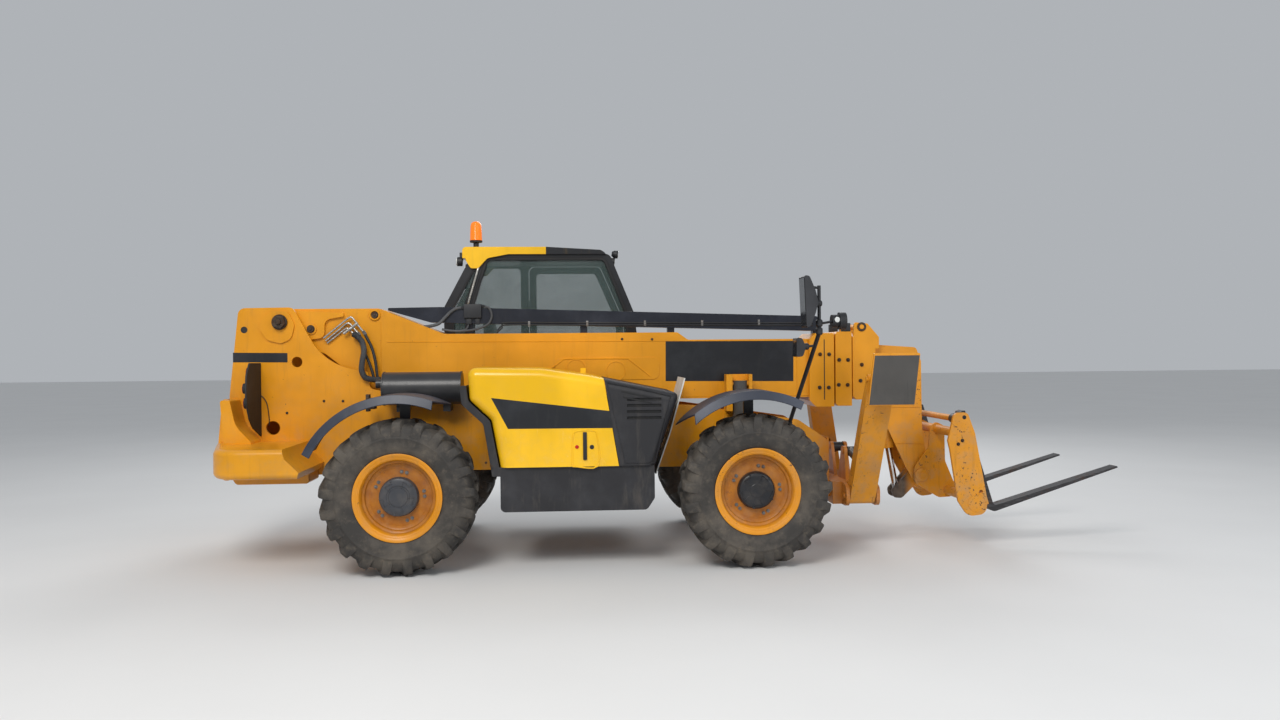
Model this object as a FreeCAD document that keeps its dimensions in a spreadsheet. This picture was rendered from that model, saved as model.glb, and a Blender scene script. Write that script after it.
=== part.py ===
import FreeCAD, Part
import math
import os
import re
import Sketcher

# Telehandler, in millimetres. X points forwards, Y to the machine's left and Z up.
# The origin is on the ground, midway between the rear end and the fork tips.
# The sizes below count X from the rear axle; every finished node is shifted by rear_axle_x.

doc = FreeCAD.newDocument("Telehandler")

sizes = [
    # where the machine stands in its own frame
    ("rear_axle_x", -2181),
    # wheels
    ("wheelbase", 2750),
    ("wheel_y", 1020),
    ("axle_z", 600),
    ("tyre_radius", 600),
    ("tyre_half", 200),
    ("carcass_radius", 566),
    ("tread_half", 150),
    ("shoulder_radius", 540),
    ("bulge_radius", 460),
    ("bead_radius", 300),
    ("lug_count", 16),
    ("lug_foot", 74),
    ("lug_top", 52),
    ("lug_sweep", 96),
    ("lug_face", 595.4),
    ("tyre_sides", 30),
    ("lug_root_radius", 500),
    ("rim_lip_radius", 337),
    ("rim_lip_outer", 173),
    ("rim_lip_inner", 163),
    ("rim_wall", 14),
    ("rim_step_radius", 264),
    ("rim_step_y", 132),
    ("dish_y", 74),
    ("dish_radius", 205),
    ("hub_radius", 150),
    ("hub_face", 134),
    ("hub_back", 40),
    # axles and knuckles
    ("kingpin_y", 820),
    ("kingpin_radius", 30),
    ("swivel_radius", 74),
    ("swivel_half", 120),
    ("yoke_ear", 38),
    ("yoke_web", 40),
    ("spindle_radius", 118),
    ("beam_half", 72),
    ("diff_radius", 165),
    ("diff_half", 150),
    ("saddle_half_x", 115),
    ("saddle_half_y", 190),
    ("saddle_z", 815),
    ("steer_ram_radius", 38),
    ("steer_ram_reach", 330),
    # mudguards on the knuckles
    ("guard_radius", 770),
    ("guard_wall", 10),
    ("guard_lip", 60),
    ("guard_bend", 26),
    ("guard_inner_y", 800),
    ("guard_outer_y", 1222),
    ("guard_front_span", 80),
    ("guard_front_lean", 12),
    ("guard_rear_span", 92),
    ("guard_rear_lean", 18),
    ("guard_stay", 40),
    # chassis plates
    ("plate_inner", 270),
    ("plate_wall", 30),
    ("tower_rear_x", -1500),
    ("tower_top_z", 2080),
    ("tower_front_x", -1000),
    ("rail_top_z", 1230),
    ("rail_bottom_z", 700),
    ("rail_front_x", "wheelbase + 780"),
    ("belly_wall", 15),
    ("pivot_x", -1094),
    ("pivot_z", 1961),
    ("pivot_pin", 50),
    ("pivot_ring_wall", 15),
    # front frame that carries the stabilisers
    ("front_frame_x0", "wheelbase + 795"),
    ("front_frame_x1", "front_frame_x0 + 380"),
    ("front_frame_z0", 370),
    ("front_frame_z1", 560),
    ("front_frame_half", 420),
    # rear weight
    ("weight_rear_x", -1640),
    ("weight_front_x", -750),
    ("weight_bottom_z", 740),
    ("weight_top_z", 968),
    ("weight_half_y", 1080),
    ("weight_horn_z", 1325),
    ("weight_keel_z", 650),
    ("weight_edge", 45),
    # boom, four stages
    ("boom_half", 220),
    ("boom_bottom", 1280),
    ("boom_top", 1790),
    ("boom_hump_z", 1855),
    ("boom_rear_z", 2075),
    ("boom_end_x", "wheelbase + 660"),
    ("boom_wall", 12),
    ("stage_play", 8),
    ("stage_wall", 10),
    ("slide_gap", 0.3),
    ("slide_block", 60),
    ("inner_rear_x", -230),
    ("collar_one_x0", "boom_end_x - 19"),
    ("collar_one_x1", "boom_end_x + 200"),
    ("collar_two_x0", "collar_one_x1 + 12"),
    ("collar_two_x1", "collar_two_x0 + 146"),
    ("collar_three_x0", "collar_two_x1 + 12"),
    ("collar_three_x1", "collar_three_x0 + 204"),
    ("collar_half", 252),
    ("collar_bottom", 1196),
    ("collar_top", 1838),
    ("collar_three_half", 236),
    ("collar_three_bottom", 1253),
    # boom nose and tool pivot
    ("nose_half", 156),
    ("nose_wall", 15),
    ("tool_pivot_x", "wheelbase + 1656"),
    ("tool_pivot_z", 576),
    ("tool_pin", 32),
    ("tilt_eye_x", "tool_pivot_x - 166"),
    ("tilt_eye_z", 411),
    ("tilt_base_x", "tool_pivot_x - 316"),
    ("tilt_base_z", 1250),
    ("tilt_barrel_radius", 52),
    ("tilt_barrel_length", 450),
    ("tilt_rod_radius", 28),
    ("tilt_rod_length", 466),
    # lift ram
    ("lift_base_x", -600),
    ("lift_base_z", 860),
    ("lift_eye_x", 1250),
    ("lift_eye_z", 1175),
    ("lift_barrel_radius", 80),
    ("lift_barrel_length", 1640),
    ("lift_rod_radius", 50),
    ("lift_rod_length", 1780),
    ("ram_eye_radius", 62),
    ("ram_eye_half", 56),
    ("ram_pin", 32),
    ("lug_wall", 25),
    ("lug_gap", 10),
    # hoses on the boom
    ("hose_tray_half", 70),
    ("hose_tray_y", -110),
    # forks and their frame, built level and tipped back by carriage_tilt
    ("carriage_tilt", 16.5),
    ("heel_x", "tool_pivot_x + 464"),
    ("heel_z", 287),
    ("fork_length", 1190),
    ("fork_height", 905),
    ("fork_wall", 50),
    ("fork_tip_wall", 14),
    ("fork_y", 500),
    ("fork_half", 60),
    ("shaft_radius", 27),
    ("shaft_back", 32),
    ("shaft_up", 850),
    ("frame_half", 600),
    ("frame_wall", 28),
    ("frame_tube", 40),
    ("cheek_inner", 172),
    ("cheek_wall", 25),
    ("lever_inner", 45),
    ("lever_wall", 25),
    # stabilisers
    ("leg_x", "wheelbase + 1015"),
    ("leg_half_x", 108),
    ("leg_y", 500),
    ("leg_z", 450),
    ("leg_lean", 29),
    ("leg_length", 1150),
    ("leg_half", 52),
    ("leg_foot_half", 34),
    ("leg_pin", 28),
    ("ear_wall", 30),
    ("ear_gap", 6),
    ("pad_half_x", 186),
    ("pad_half_z", 205),
    ("pad_rake", 50),
    ("pad_wall", 22),
    ("pad_offset", 52),
    ("stab_base_y", 220),
    ("stab_base_z", 800),
    ("stab_eye_up", 300),
    ("stab_barrel_radius", 42),
    ("stab_rod_radius", 24),
    ("stab_barrel_length", 350),
    ("stab_rod_length", 380),
    ("ram_gland", 70),
    ("ram_collar", 8),
    ("bore_play", 0.05),
    # engine hood and its tray
    ("hood_outer", 1120),
    ("hood_inner", 420),
    ("hood_wall", 12),
    ("hood_edge", 70),
    ("hood_front_x", "wheelbase - 593"),
    ("hood_split_x", "hood_front_x - 588"),
    ("hood_gap", 4),
    ("hood_seat_z", 808),
    ("hinge_y", 396),
    ("hinge_z", 1500),
    ("hinge_radius", 16),
    ("tray_bottom", 462),
    ("tray_top", 807.7),
    ("tray_rear_x", 766),
    ("tray_front_x", "wheelbase - 793"),
    ("tray_outer", 1095),
    ("tray_wall", 12),
    ("engine_x0", 800),
    ("engine_x1", "tray_front_x - 207"),
    ("engine_y0", -980),
    ("engine_y1", -430),
    ("engine_z0", 560),
    ("engine_z1", 1340),
    # silencer
    ("silencer_x0", -222),
    ("silencer_x1", 418),
    ("silencer_y", -484),
    ("silencer_z", 1403),
    ("silencer_radius", 135),
    # cab
    ("cab_inner_y", 320),
    ("cab_outer_y", 1200),
    ("cab_wall", 42),
    ("cab_floor_z", 850),
    ("cab_top_z", 2590),
    ("cab_rear_x", 170),
    ("cab_front_x", "wheelbase - 760"),
    ("waist_z", 1480),
    ("brow_z", "waist_z + 0.51 * (cab_top_z - waist_z)"),
    ("window_top_z", "cab_top_z - 44"),
    ("rear_window_z", "brow_z + 54 + 0.45 * (cab_top_z - brow_z - 54)"),
    ("window_round", 60),
    ("pane_wall", 6),
    ("pane_gap", 0.3),
    ("door_gap", 5),
    ("door_hinge_x", 905),
    ("door_pin_y", 1216),
    ("door_pin_radius", 8),
    ("roof_wall", 62),
    ("roof_overhang", 28),
    ("beacon_x", 432),
    ("beacon_y", 700),
    ("beacon_radius", 62),
    ("beacon_height", 285),
    # tank and steps under the cab
    ("tank_x0", 770),
    ("tank_x1", "wheelbase - 790"),
    ("tank_y0", 420),
    ("tank_y1", 1130),
    ("tank_z0", 440),
    ("step_depth", 170),
    ("step_height", 190),
]

sheet = doc.addObject("Spreadsheet::Sheet", "Dims")
for row, (word, number) in enumerate(sizes, start=1):
    sheet.set(f"A{row}", word)
    sheet.set(f"B{row}", f"={number}" if isinstance(number, str) else str(number))
    sheet.setAlias(f"B{row}", word)
doc.recompute()
words = {word for word, number in sizes}


def bound(text):
    """The expression with each named size read from the sheet."""
    return re.sub(r"[a-z]\w*", lambda found: ("Dims." if found.group() in words else "") + found.group(), str(text))


def value(text):
    """The number that an expression stands for."""
    result = sheet.evalExpression(bound(text))
    return float(getattr(result, "Value", result))


def bind(item, **properties):
    for name, text in properties.items():
        item.setExpression(name.replace("__", "."), bound(text))
    return item


def place(item, x="0", y="0", z="0", axis=None, angle="0"):
    """Put an item at a point, turned about an axis by an angle in degrees."""
    if axis:
        item.Placement = FreeCAD.Placement(FreeCAD.Vector(), FreeCAD.Rotation(FreeCAD.Vector(*axis), value(angle)))
        item.setExpression("Placement.Rotation.Angle", bound(f"({angle}) * 1 deg"))
    return bind(item, Placement__Base__x=x, Placement__Base__y=y, Placement__Base__z=z)


def box(name, x0, x1, y0, y1, z0, z1):
    item = doc.addObject("Part::Box", name)
    bind(item, Length=f"({x1}) - ({x0})", Width=f"({y1}) - ({y0})", Height=f"({z1}) - ({z0})")
    return place(item, x0, y0, z0)


turns = {"X": ((0, 1, 0), 90), "Y": ((1, 0, 0), -90), "Z": ((0, 0, 1), 0)}


def rod(name, axis, x, y, z, radius, start, end):
    """A cylinder along one axis, from start to end; its own coordinate on that axis is unused."""
    item = doc.addObject("Part::Cylinder", name)
    bind(item, Radius=radius, Height=f"({end}) - ({start})")
    direction, angle = turns[axis]
    item.Placement = FreeCAD.Placement(FreeCAD.Vector(), FreeCAD.Rotation(FreeCAD.Vector(*direction), angle))
    base = {"X": x, "Y": y, "Z": z}
    base[axis] = start
    return bind(item, Placement__Base__x=base["X"], Placement__Base__y=base["Y"], Placement__Base__z=base["Z"])


def draw(body, plane, loops, offset, holes):
    """A sketch of closed loops of (across, up, corner radius), each corner bound to the sheet."""
    sketch = body.newObject("Sketcher::SketchObject", body.Name + "Outline")
    origin = next(item for item in body.Origin.OriginFeatures if item.Role == plane)
    sketch.AttachmentSupport = (origin, [""])
    sketch.MapMode = "FlatFace"
    sketch.setExpression("AttachmentOffset.Base.z", bound(offset))
    constraints = []
    expressions = []

    def fix(kind, *where_and_text):
        *where, text = where_and_text
        expressions.append((len(constraints), text))
        constraints.append(Sketcher.Constraint(kind, *where, value(text)))

    for loop in loops:
        corners = [FreeCAD.Vector(value(across), value(up), 0) for across, up, *rest in loop]
        rounds = [value(rest[0]) if rest else 0 for across, up, *rest in loop]
        count = len(corners)
        entry, leave, middle = [], [], []
        for index, corner in enumerate(corners):
            back = (corners[index - 1] - corner).normalize()
            ahead = (corners[(index + 1) % count] - corner).normalize()
            half = back.getAngle(ahead) / 2
            reach = rounds[index] / math.tan(half) if rounds[index] else 0
            entry.append(corner + back * reach)
            leave.append(corner + ahead * reach)
            bisector = (back + ahead).normalize()
            middle.append(corner + bisector * (rounds[index] / math.sin(half) if rounds[index] else 0))
        lines = [
            sketch.addGeometry(Part.LineSegment(leave[index], entry[(index + 1) % count]), False)
            for index in range(count)
        ]
        for index, (across, up, *rest) in enumerate(loop):
            before, after = lines[index - 1], lines[index]
            if not rounds[index]:
                constraints.append(Sketcher.Constraint("Coincident", before, 2, after, 1))
                fix("DistanceX", -1, 1, after, 1, across)
                fix("DistanceY", -1, 1, after, 1, up)
                continue
            toward = (corners[index] - middle[index]).normalize()
            circle = Part.Arc(entry[index], middle[index] + toward * rounds[index], leave[index])
            arc = sketch.addGeometry(circle, False)
            start_point = sketch.getPoint(arc, 1)
            first, second = (1, 2) if start_point.isEqual(entry[index], 1e-6) else (2, 1)
            point = sketch.addGeometry(Part.Point(corners[index]), True)
            constraints.append(Sketcher.Constraint("Tangent", before, 2, arc, first))
            constraints.append(Sketcher.Constraint("Tangent", arc, second, after, 1))
            constraints.append(Sketcher.Constraint("PointOnObject", point, 1, before))
            constraints.append(Sketcher.Constraint("PointOnObject", point, 1, after))
            fix("DistanceX", -1, 1, point, 1, across)
            fix("DistanceY", -1, 1, point, 1, up)
            fix("Radius", arc, rest[0])
    for across, up, radius in holes:
        circle = Part.Circle(FreeCAD.Vector(value(across), value(up), 0), FreeCAD.Vector(0, 0, 1), value(radius))
        ring = sketch.addGeometry(circle, False)
        fix("DistanceX", -1, 1, ring, 3, across)
        fix("DistanceY", -1, 1, ring, 3, up)
        fix("Radius", ring, radius)
    sketch.addConstraint(constraints)
    for index, text in expressions:
        sketch.setExpression(f"Constraints[{index}]", bound(text))
    return sketch


planes = {"XZ": ("XZ_Plane", -1), "YZ": ("YZ_Plane", 1), "XY": ("XY_Plane", 1)}


def plate(name, plane, start, end, *loops, holes=()):
    """A profile in one plane, padded from start to end along the plane's row axis."""
    body = doc.addObject("PartDesign::Body", name)
    role, sign = planes[plane]
    sketch = draw(body, role, loops, f"{sign} * ({start})", holes)
    pad = body.newObject("PartDesign::Pad", name + "Pad")
    pad.Profile = sketch
    pad.Reversed = sign < 0
    bind(pad, Length=f"({end}) - ({start})")
    return body


def turned(name, loop, angle=None):
    """A profile of (y, radius) turned about the Y axis, whole or by an angle centred on +Z."""
    body = doc.addObject("PartDesign::Body", name)
    sketch = draw(body, "YZ_Plane", [loop], "0", ())
    turn = body.newObject("PartDesign::Revolution", name + "Turn")
    turn.Profile = sketch
    turn.ReferenceAxis = (sketch, ["H_Axis"])
    turn.Angle = 360
    if angle:
        turn.Midplane = True
        turn.setExpression("Angle", bound(f"({angle}) * 1 deg"))
    return body


def fuse(name, *items):
    item = doc.addObject("Part::MultiFuse", name)
    item.Shapes = list(items)
    item.Refine = True
    return item


def cut(name, base, *tools):
    item = doc.addObject("Part::Cut", name)
    item.Base = base
    item.Tool = tools[0] if len(tools) == 1 else fuse(name + "Tools", *tools)
    item.Refine = True
    return item


def mirror(name, item, normal=(0, 1, 0)):
    twin = doc.addObject("Part::Mirroring", name)
    twin.Source = item
    twin.Normal = FreeCAD.Vector(*normal)
    return twin


def copy(name, item, x, y, z, half_turn=False):
    """A second one of a finished piece, at another place."""
    doc.recompute()
    twin = doc.addObject("Part::Feature", name)
    twin.Shape = item.Shape.copy()
    turn = FreeCAD.Rotation(FreeCAD.Vector(0, 0, 1), 180 if half_turn else 0)
    twin.Placement = FreeCAD.Placement(FreeCAD.Vector(value(x), value(y), value(z)), turn)
    return twin


def strut(name, start, end, radius):
    """A cylinder between two points of (x, y, z), each coordinate an expression."""
    low = FreeCAD.Vector(*(value(part) for part in start))
    high = FreeCAD.Vector(*(value(part) for part in end))
    item = doc.addObject("Part::Cylinder", name)
    item.Height = (high - low).Length
    bind(item, Radius=radius)
    item.Placement = FreeCAD.Placement(low, FreeCAD.Rotation(FreeCAD.Vector(0, 0, 1), high - low))
    return item


nodes = {}


def node(label, *items):
    """One node of the part: its solids, moved into the part's frame."""
    item = doc.addObject("Part::Compound", "node_" + label)
    item.Links = list(items)
    item.Label = label
    nodes[label] = bind(item, Placement__Base__x="rear_axle_x")


def flipped(loop):
    """The same loop seen from the other side of the plane's first axis."""
    return [(f"-({across})", up, *rest) for across, up, *rest in loop]


# Wheels: a lugged tyre on a deep dished rim that carries the hub drum.

sides = [("left", 1), ("right", -1)]
axles = [("front", "wheelbase"), ("rear", "0")]


def faceted(name, loop, count):
    """A closed profile of (y, radius) carried round the Y axis in flat facets."""
    corners = [(value(y), value(radius)) for y, radius in loop]
    turns_of_arc = [2 * math.pi * step / count for step in range(count)]
    rings = [
        [FreeCAD.Vector(radius * math.sin(turn), y, radius * math.cos(turn)) for turn in turns_of_arc]
        for y, radius in corners
    ]
    faces = []
    for index, ring in enumerate(rings):
        following = rings[(index + 1) % len(rings)]
        for step in range(count):
            ahead = (step + 1) % count
            corner_points = [ring[step], ring[ahead], following[ahead], following[step], ring[step]]
            faces.append(Part.Face(Part.makePolygon(corner_points)))
    solid = Part.makeSolid(Part.makeShell(faces))
    item = doc.addObject("Part::Feature", name)
    item.Shape = solid if solid.Volume > 0 else solid.reversed()
    return item


def make_tyre():
    half_profile = [
        ("rim_lip_inner - 1", "bead_radius + slide_gap"),
        ("rim_lip_inner - 1", "rim_lip_radius + 1.7"),
        ("tyre_half", "bulge_radius"),
        ("tyre_half - 8", "shoulder_radius"),
        ("tread_half", "carcass_radius"),
    ]
    profile = half_profile + [(f"-({y})", radius) for y, radius in reversed(half_profile)]
    profile = [(y, f"({radius}) / cos(180 / tyre_sides)") if index in (0, 9) else (y, radius)
               for index, (y, radius) in enumerate(profile)]
    carcass = faceted("tyre_carcass", profile, int(value("tyre_sides")))
    lug = plate(
        "tyre_lug", "XZ", "-6", "tyre_half - 6",
        [
            ("-lug_foot / 2 - lug_sweep / 2", "lug_root_radius"),
            ("lug_foot / 2 - lug_sweep / 2", "lug_root_radius"),
            ("lug_top / 2 - lug_sweep / 2", "lug_face"),
            ("-lug_top / 2 - lug_sweep / 2", "lug_face"),
        ],
    )
    pad = lug.Group[-1]
    pad.UseCustomVector = True
    slope = value("lug_sweep") / value("tyre_half")
    pad.Direction = FreeCAD.Vector(slope, 1, 0)
    pad.Reversed = False
    pad.AlongSketchNormal = True
    doc.recompute()
    count = int(value("lug_count"))
    first = math.degrees(math.atan2(value("(lug_top + lug_sweep) / 2"), value("lug_face")))
    ring = []
    for side in (1, -1):
        for index in range(count):
            angle = first + 360 / count * (index + (0 if side > 0 else 0.5))
            shape = lug.Shape.copy()
            if side < 0:
                shape = shape.mirror(FreeCAD.Vector(), FreeCAD.Vector(0, 1, 0))
            shape.rotate(FreeCAD.Vector(), FreeCAD.Vector(0, 1, 0), angle)
            ring.append(shape)
    item = doc.addObject("Part::Feature", "tyre_master")
    item.Shape = carcass.Shape.fuse(ring).removeSplitter()
    return item


def make_rim(side):
    profile = [
        ("-rim_lip_outer", "rim_lip_radius"),
        ("-rim_lip_inner", "rim_lip_radius"),
        ("-rim_lip_inner", "bead_radius"),
        ("rim_lip_inner", "bead_radius"),
        ("rim_lip_inner", "rim_lip_radius"),
        ("rim_lip_outer", "rim_lip_radius"),
        ("rim_lip_outer", "bead_radius - 6"),
        ("rim_step_y + 20", "bead_radius - rim_wall"),
        ("rim_step_y", "rim_step_radius"),
        ("dish_y + 24", "rim_step_radius - 10"),
        ("dish_y", "dish_radius"),
        ("dish_y", "hub_radius"),
        ("hub_face - 12", "hub_radius - 6"),
        ("hub_face", "hub_radius - 40"),
        ("hub_face", "0"),
        ("hub_back", "0"),
        ("hub_back", "hub_radius + 8"),
        ("dish_y - 16", "dish_radius + 8"),
        ("dish_y + 4", "rim_step_radius - 16"),
        ("0", "bead_radius - 26"),
        ("-rim_step_y", "bead_radius - rim_wall"),
        ("-rim_lip_outer", "bead_radius - 6"),
    ]
    if side < 0:
        profile = flipped(profile)
    return turned(f"rim_master_{'left' if side > 0 else 'right'}", profile)


def make_wheels():
    tyre = make_tyre()
    for side_name, side in sides:
        rim = make_rim(side)
        for axle_name, axle_x in axles:
            name = f"{axle_name}_{side_name}"
            node("tyre_" + name, copy("tyre_at_" + name, tyre, axle_x, f"{side} * wheel_y", "axle_z"))
            node("rim_" + name, copy("rim_at_" + name, rim, axle_x, f"{side} * wheel_y", "axle_z"))


# Axles: a beam with its differential, a steering ram, and a yoke round each swivel.

def make_axle(name, x, ram_side):
    beam = box(
        name + "_beam", f"{x} - beam_half", f"{x} + beam_half",
        "-(kingpin_y - swivel_radius - 6 - yoke_web)", "kingpin_y - swivel_radius - 6 - yoke_web",
        "axle_z - beam_half", "axle_z + beam_half",
    )
    diff = rod(name + "_diff", "X", x, "0", "axle_z", "diff_radius", f"{x} - diff_half", f"{x} + diff_half")
    flange = rod(
        name + "_flange", "X", x, "0", "axle_z", "diff_radius / 2",
        f"{x} - diff_half - 60", f"{x} + diff_half + 60",
    )
    saddle = box(
        name + "_saddle", f"{x} - saddle_half_x", f"{x} + saddle_half_x", "-saddle_half_y", "saddle_half_y",
        "axle_z", "saddle_z",
    )
    ram_x = f"{x} + {ram_side} * (diff_half + 50)"
    ram = rod(name + "_ram", "Y", ram_x, "0", "axle_z", "steer_ram_radius", "-steer_ram_reach", "steer_ram_reach")
    hangers = []
    for index, y in enumerate(("-steer_ram_reach * 0.7", "steer_ram_reach * 0.7")):
        ends = sorted((f"{x} + {ram_side} * (diff_half + 50)", f"{x}"), key=value)
        hangers.append(
            box(f"{name}_hanger_{index}", ends[0], ends[1], f"{y} - 15", f"{y} + 15", "axle_z - 45", "axle_z + 45")
        )
    parts = [beam, diff, flange, saddle, ram, *hangers]
    web_y = "kingpin_y - swivel_radius - 6"
    for side_name, side in sides:
        inner, outer = sorted((f"{side} * ({web_y} - yoke_web)", f"{side} * ({web_y})"), key=value)
        height = "swivel_half + slide_gap + yoke_ear"
        parts.append(
            box(
                f"{name}_web_{side_name}", f"{x} - swivel_radius", f"{x} + swivel_radius", inner, outer,
                f"axle_z - ({height})", f"axle_z + {height}",
            )
        )
        for level, up in (("upper", 1), ("lower", -1)):
            low, high = sorted(
                (f"axle_z + {up} * (swivel_half + slide_gap)", f"axle_z + {up} * ({height})"), key=value
            )
            near, far = sorted((f"{side} * ({web_y})", f"{side} * kingpin_y"), key=value)
            ear = fuse(
                f"{name}_ear_{side_name}_{level}",
                box(
                    f"{name}_arm_{side_name}_{level}", f"{x} - swivel_radius", f"{x} + swivel_radius",
                    near, far, low, high,
                ),
                rod(
                    f"{name}_eye_{side_name}_{level}", "Z", x, f"{side} * kingpin_y", "0", "swivel_radius",
                    low, high,
                ),
            )
            bore = rod(
                f"{name}_bore_{side_name}_{level}", "Z", x, f"{side} * kingpin_y", "0", "kingpin_radius + 0.05",
                f"{low} - 5", f"{high} + 5",
            )
            parts.append(cut(f"{name}_bored_{side_name}_{level}", ear, bore))
    node(name, fuse(name + "_whole", *parts))


def make_knuckles():
    for axle_name, x in axles:
        lean = f"-guard_{axle_name}_lean"
        span = f"guard_{axle_name}_span"
        for side_name, side in sides:
            name = f"{axle_name}_{side_name}"
            y = f"{side} * kingpin_y"
            cap = "swivel_half + yoke_ear + 2 * slide_gap"
            swivel = rod(
                "swivel_" + name, "Z", x, y, "0", "swivel_radius", "axle_z - swivel_half", "axle_z + swivel_half"
            )
            pin = rod(
                "kingpin_" + name, "Z", x, y, "0", "kingpin_radius", f"axle_z - ({cap}) - 14", f"axle_z + {cap} + 30"
            )
            near, far = sorted((y, f"{side} * (wheel_y + hub_back - slide_gap)"), key=value)
            spindle = rod("spindle_" + name, "Y", x, "0", "axle_z", "spindle_radius * 0.6", near, far)
            drum_near, drum_far = sorted(
                (f"{side} * (kingpin_y + swivel_radius + 20)", f"{side} * (wheel_y + hub_back - slide_gap)"), key=value
            )
            drum = rod("drum_" + name, "Y", x, "0", "axle_z", "spindle_radius", drum_near, drum_far)
            cap_in, cap_out = sorted((f"{side} * (kingpin_y - 62)", f"{side} * (kingpin_y + 34)"), key=value)
            cap_plate = box(
                "cap_" + name, f"{x} - guard_stay - 6", f"{x} + guard_stay + 6", cap_in, cap_out,
                f"axle_z + {cap}", f"axle_z + {cap} + 30",
            )
            stay_in, stay_out = sorted(
                (f"{side} * (wheel_y - tyre_half - 50)", f"{side} * (wheel_y - tyre_half - 18)"), key=value
            )
            stay_top = "axle_z + guard_radius - 1.2"
            stay = box(
                "stay_" + name, f"{x} - guard_stay", f"{x} + guard_stay", stay_in, stay_out,
                f"axle_z + {cap} + 10", stay_top,
            )
            shelf_in, shelf_out = sorted(
                (f"{side} * (wheel_y - tyre_half - 50)", f"{side} * (wheel_y + 60)"), key=value
            )
            shelf = box(
                "shelf_" + name, f"{x} - guard_stay + 4", f"{x} + guard_stay - 4", shelf_in, shelf_out,
                f"{stay_top} - 14", stay_top,
            )
            node("knuckle_" + name, fuse("knuckle_whole_" + name, swivel, pin, spindle, drum, cap_plate, stay, shelf))
            profile = [
                ("guard_inner_y", "guard_radius"),
                ("guard_outer_y - guard_bend", "guard_radius"),
                ("guard_outer_y - 4", "guard_radius - guard_lip"),
                ("guard_outer_y + 4", "guard_radius - guard_lip + guard_wall / 2"),
                ("guard_outer_y - guard_bend + 6", "guard_radius + guard_wall"),
                ("guard_inner_y", "guard_radius + guard_wall"),
            ]
            guard = turned("guard_turned_" + name, profile if side > 0 else flipped(profile), span)
            place(guard, x, "0", "axle_z", (0, 1, 0), lean)
            end = 1 if axle_name == "rear" else -1
            corner = 380 if axle_name == "rear" else 600
            trim = plate(
                "guard_trim_" + name, "XY", "axle_z", "axle_z + 2 * guard_radius",
                [
                    (f"{x} + {end * corner}", f"{side} * guard_inner_y - {side} * 10"),
                    (f"{x} + {end * (corner - 130)}", f"{side} * (guard_outer_y + 60)"),
                    (f"{x} + {end * (corner + 500)}", f"{side} * (guard_outer_y + 60)"),
                    (f"{x} + {end * (corner + 500)}", f"{side} * guard_inner_y - {side} * 10"),
                ],
            )
            node("guard_" + name, cut("guard_cut_" + name, guard, trim))


# Chassis: two side plates that rise into the boom tower, tied by plates, with the stabiliser frame in front.

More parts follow.
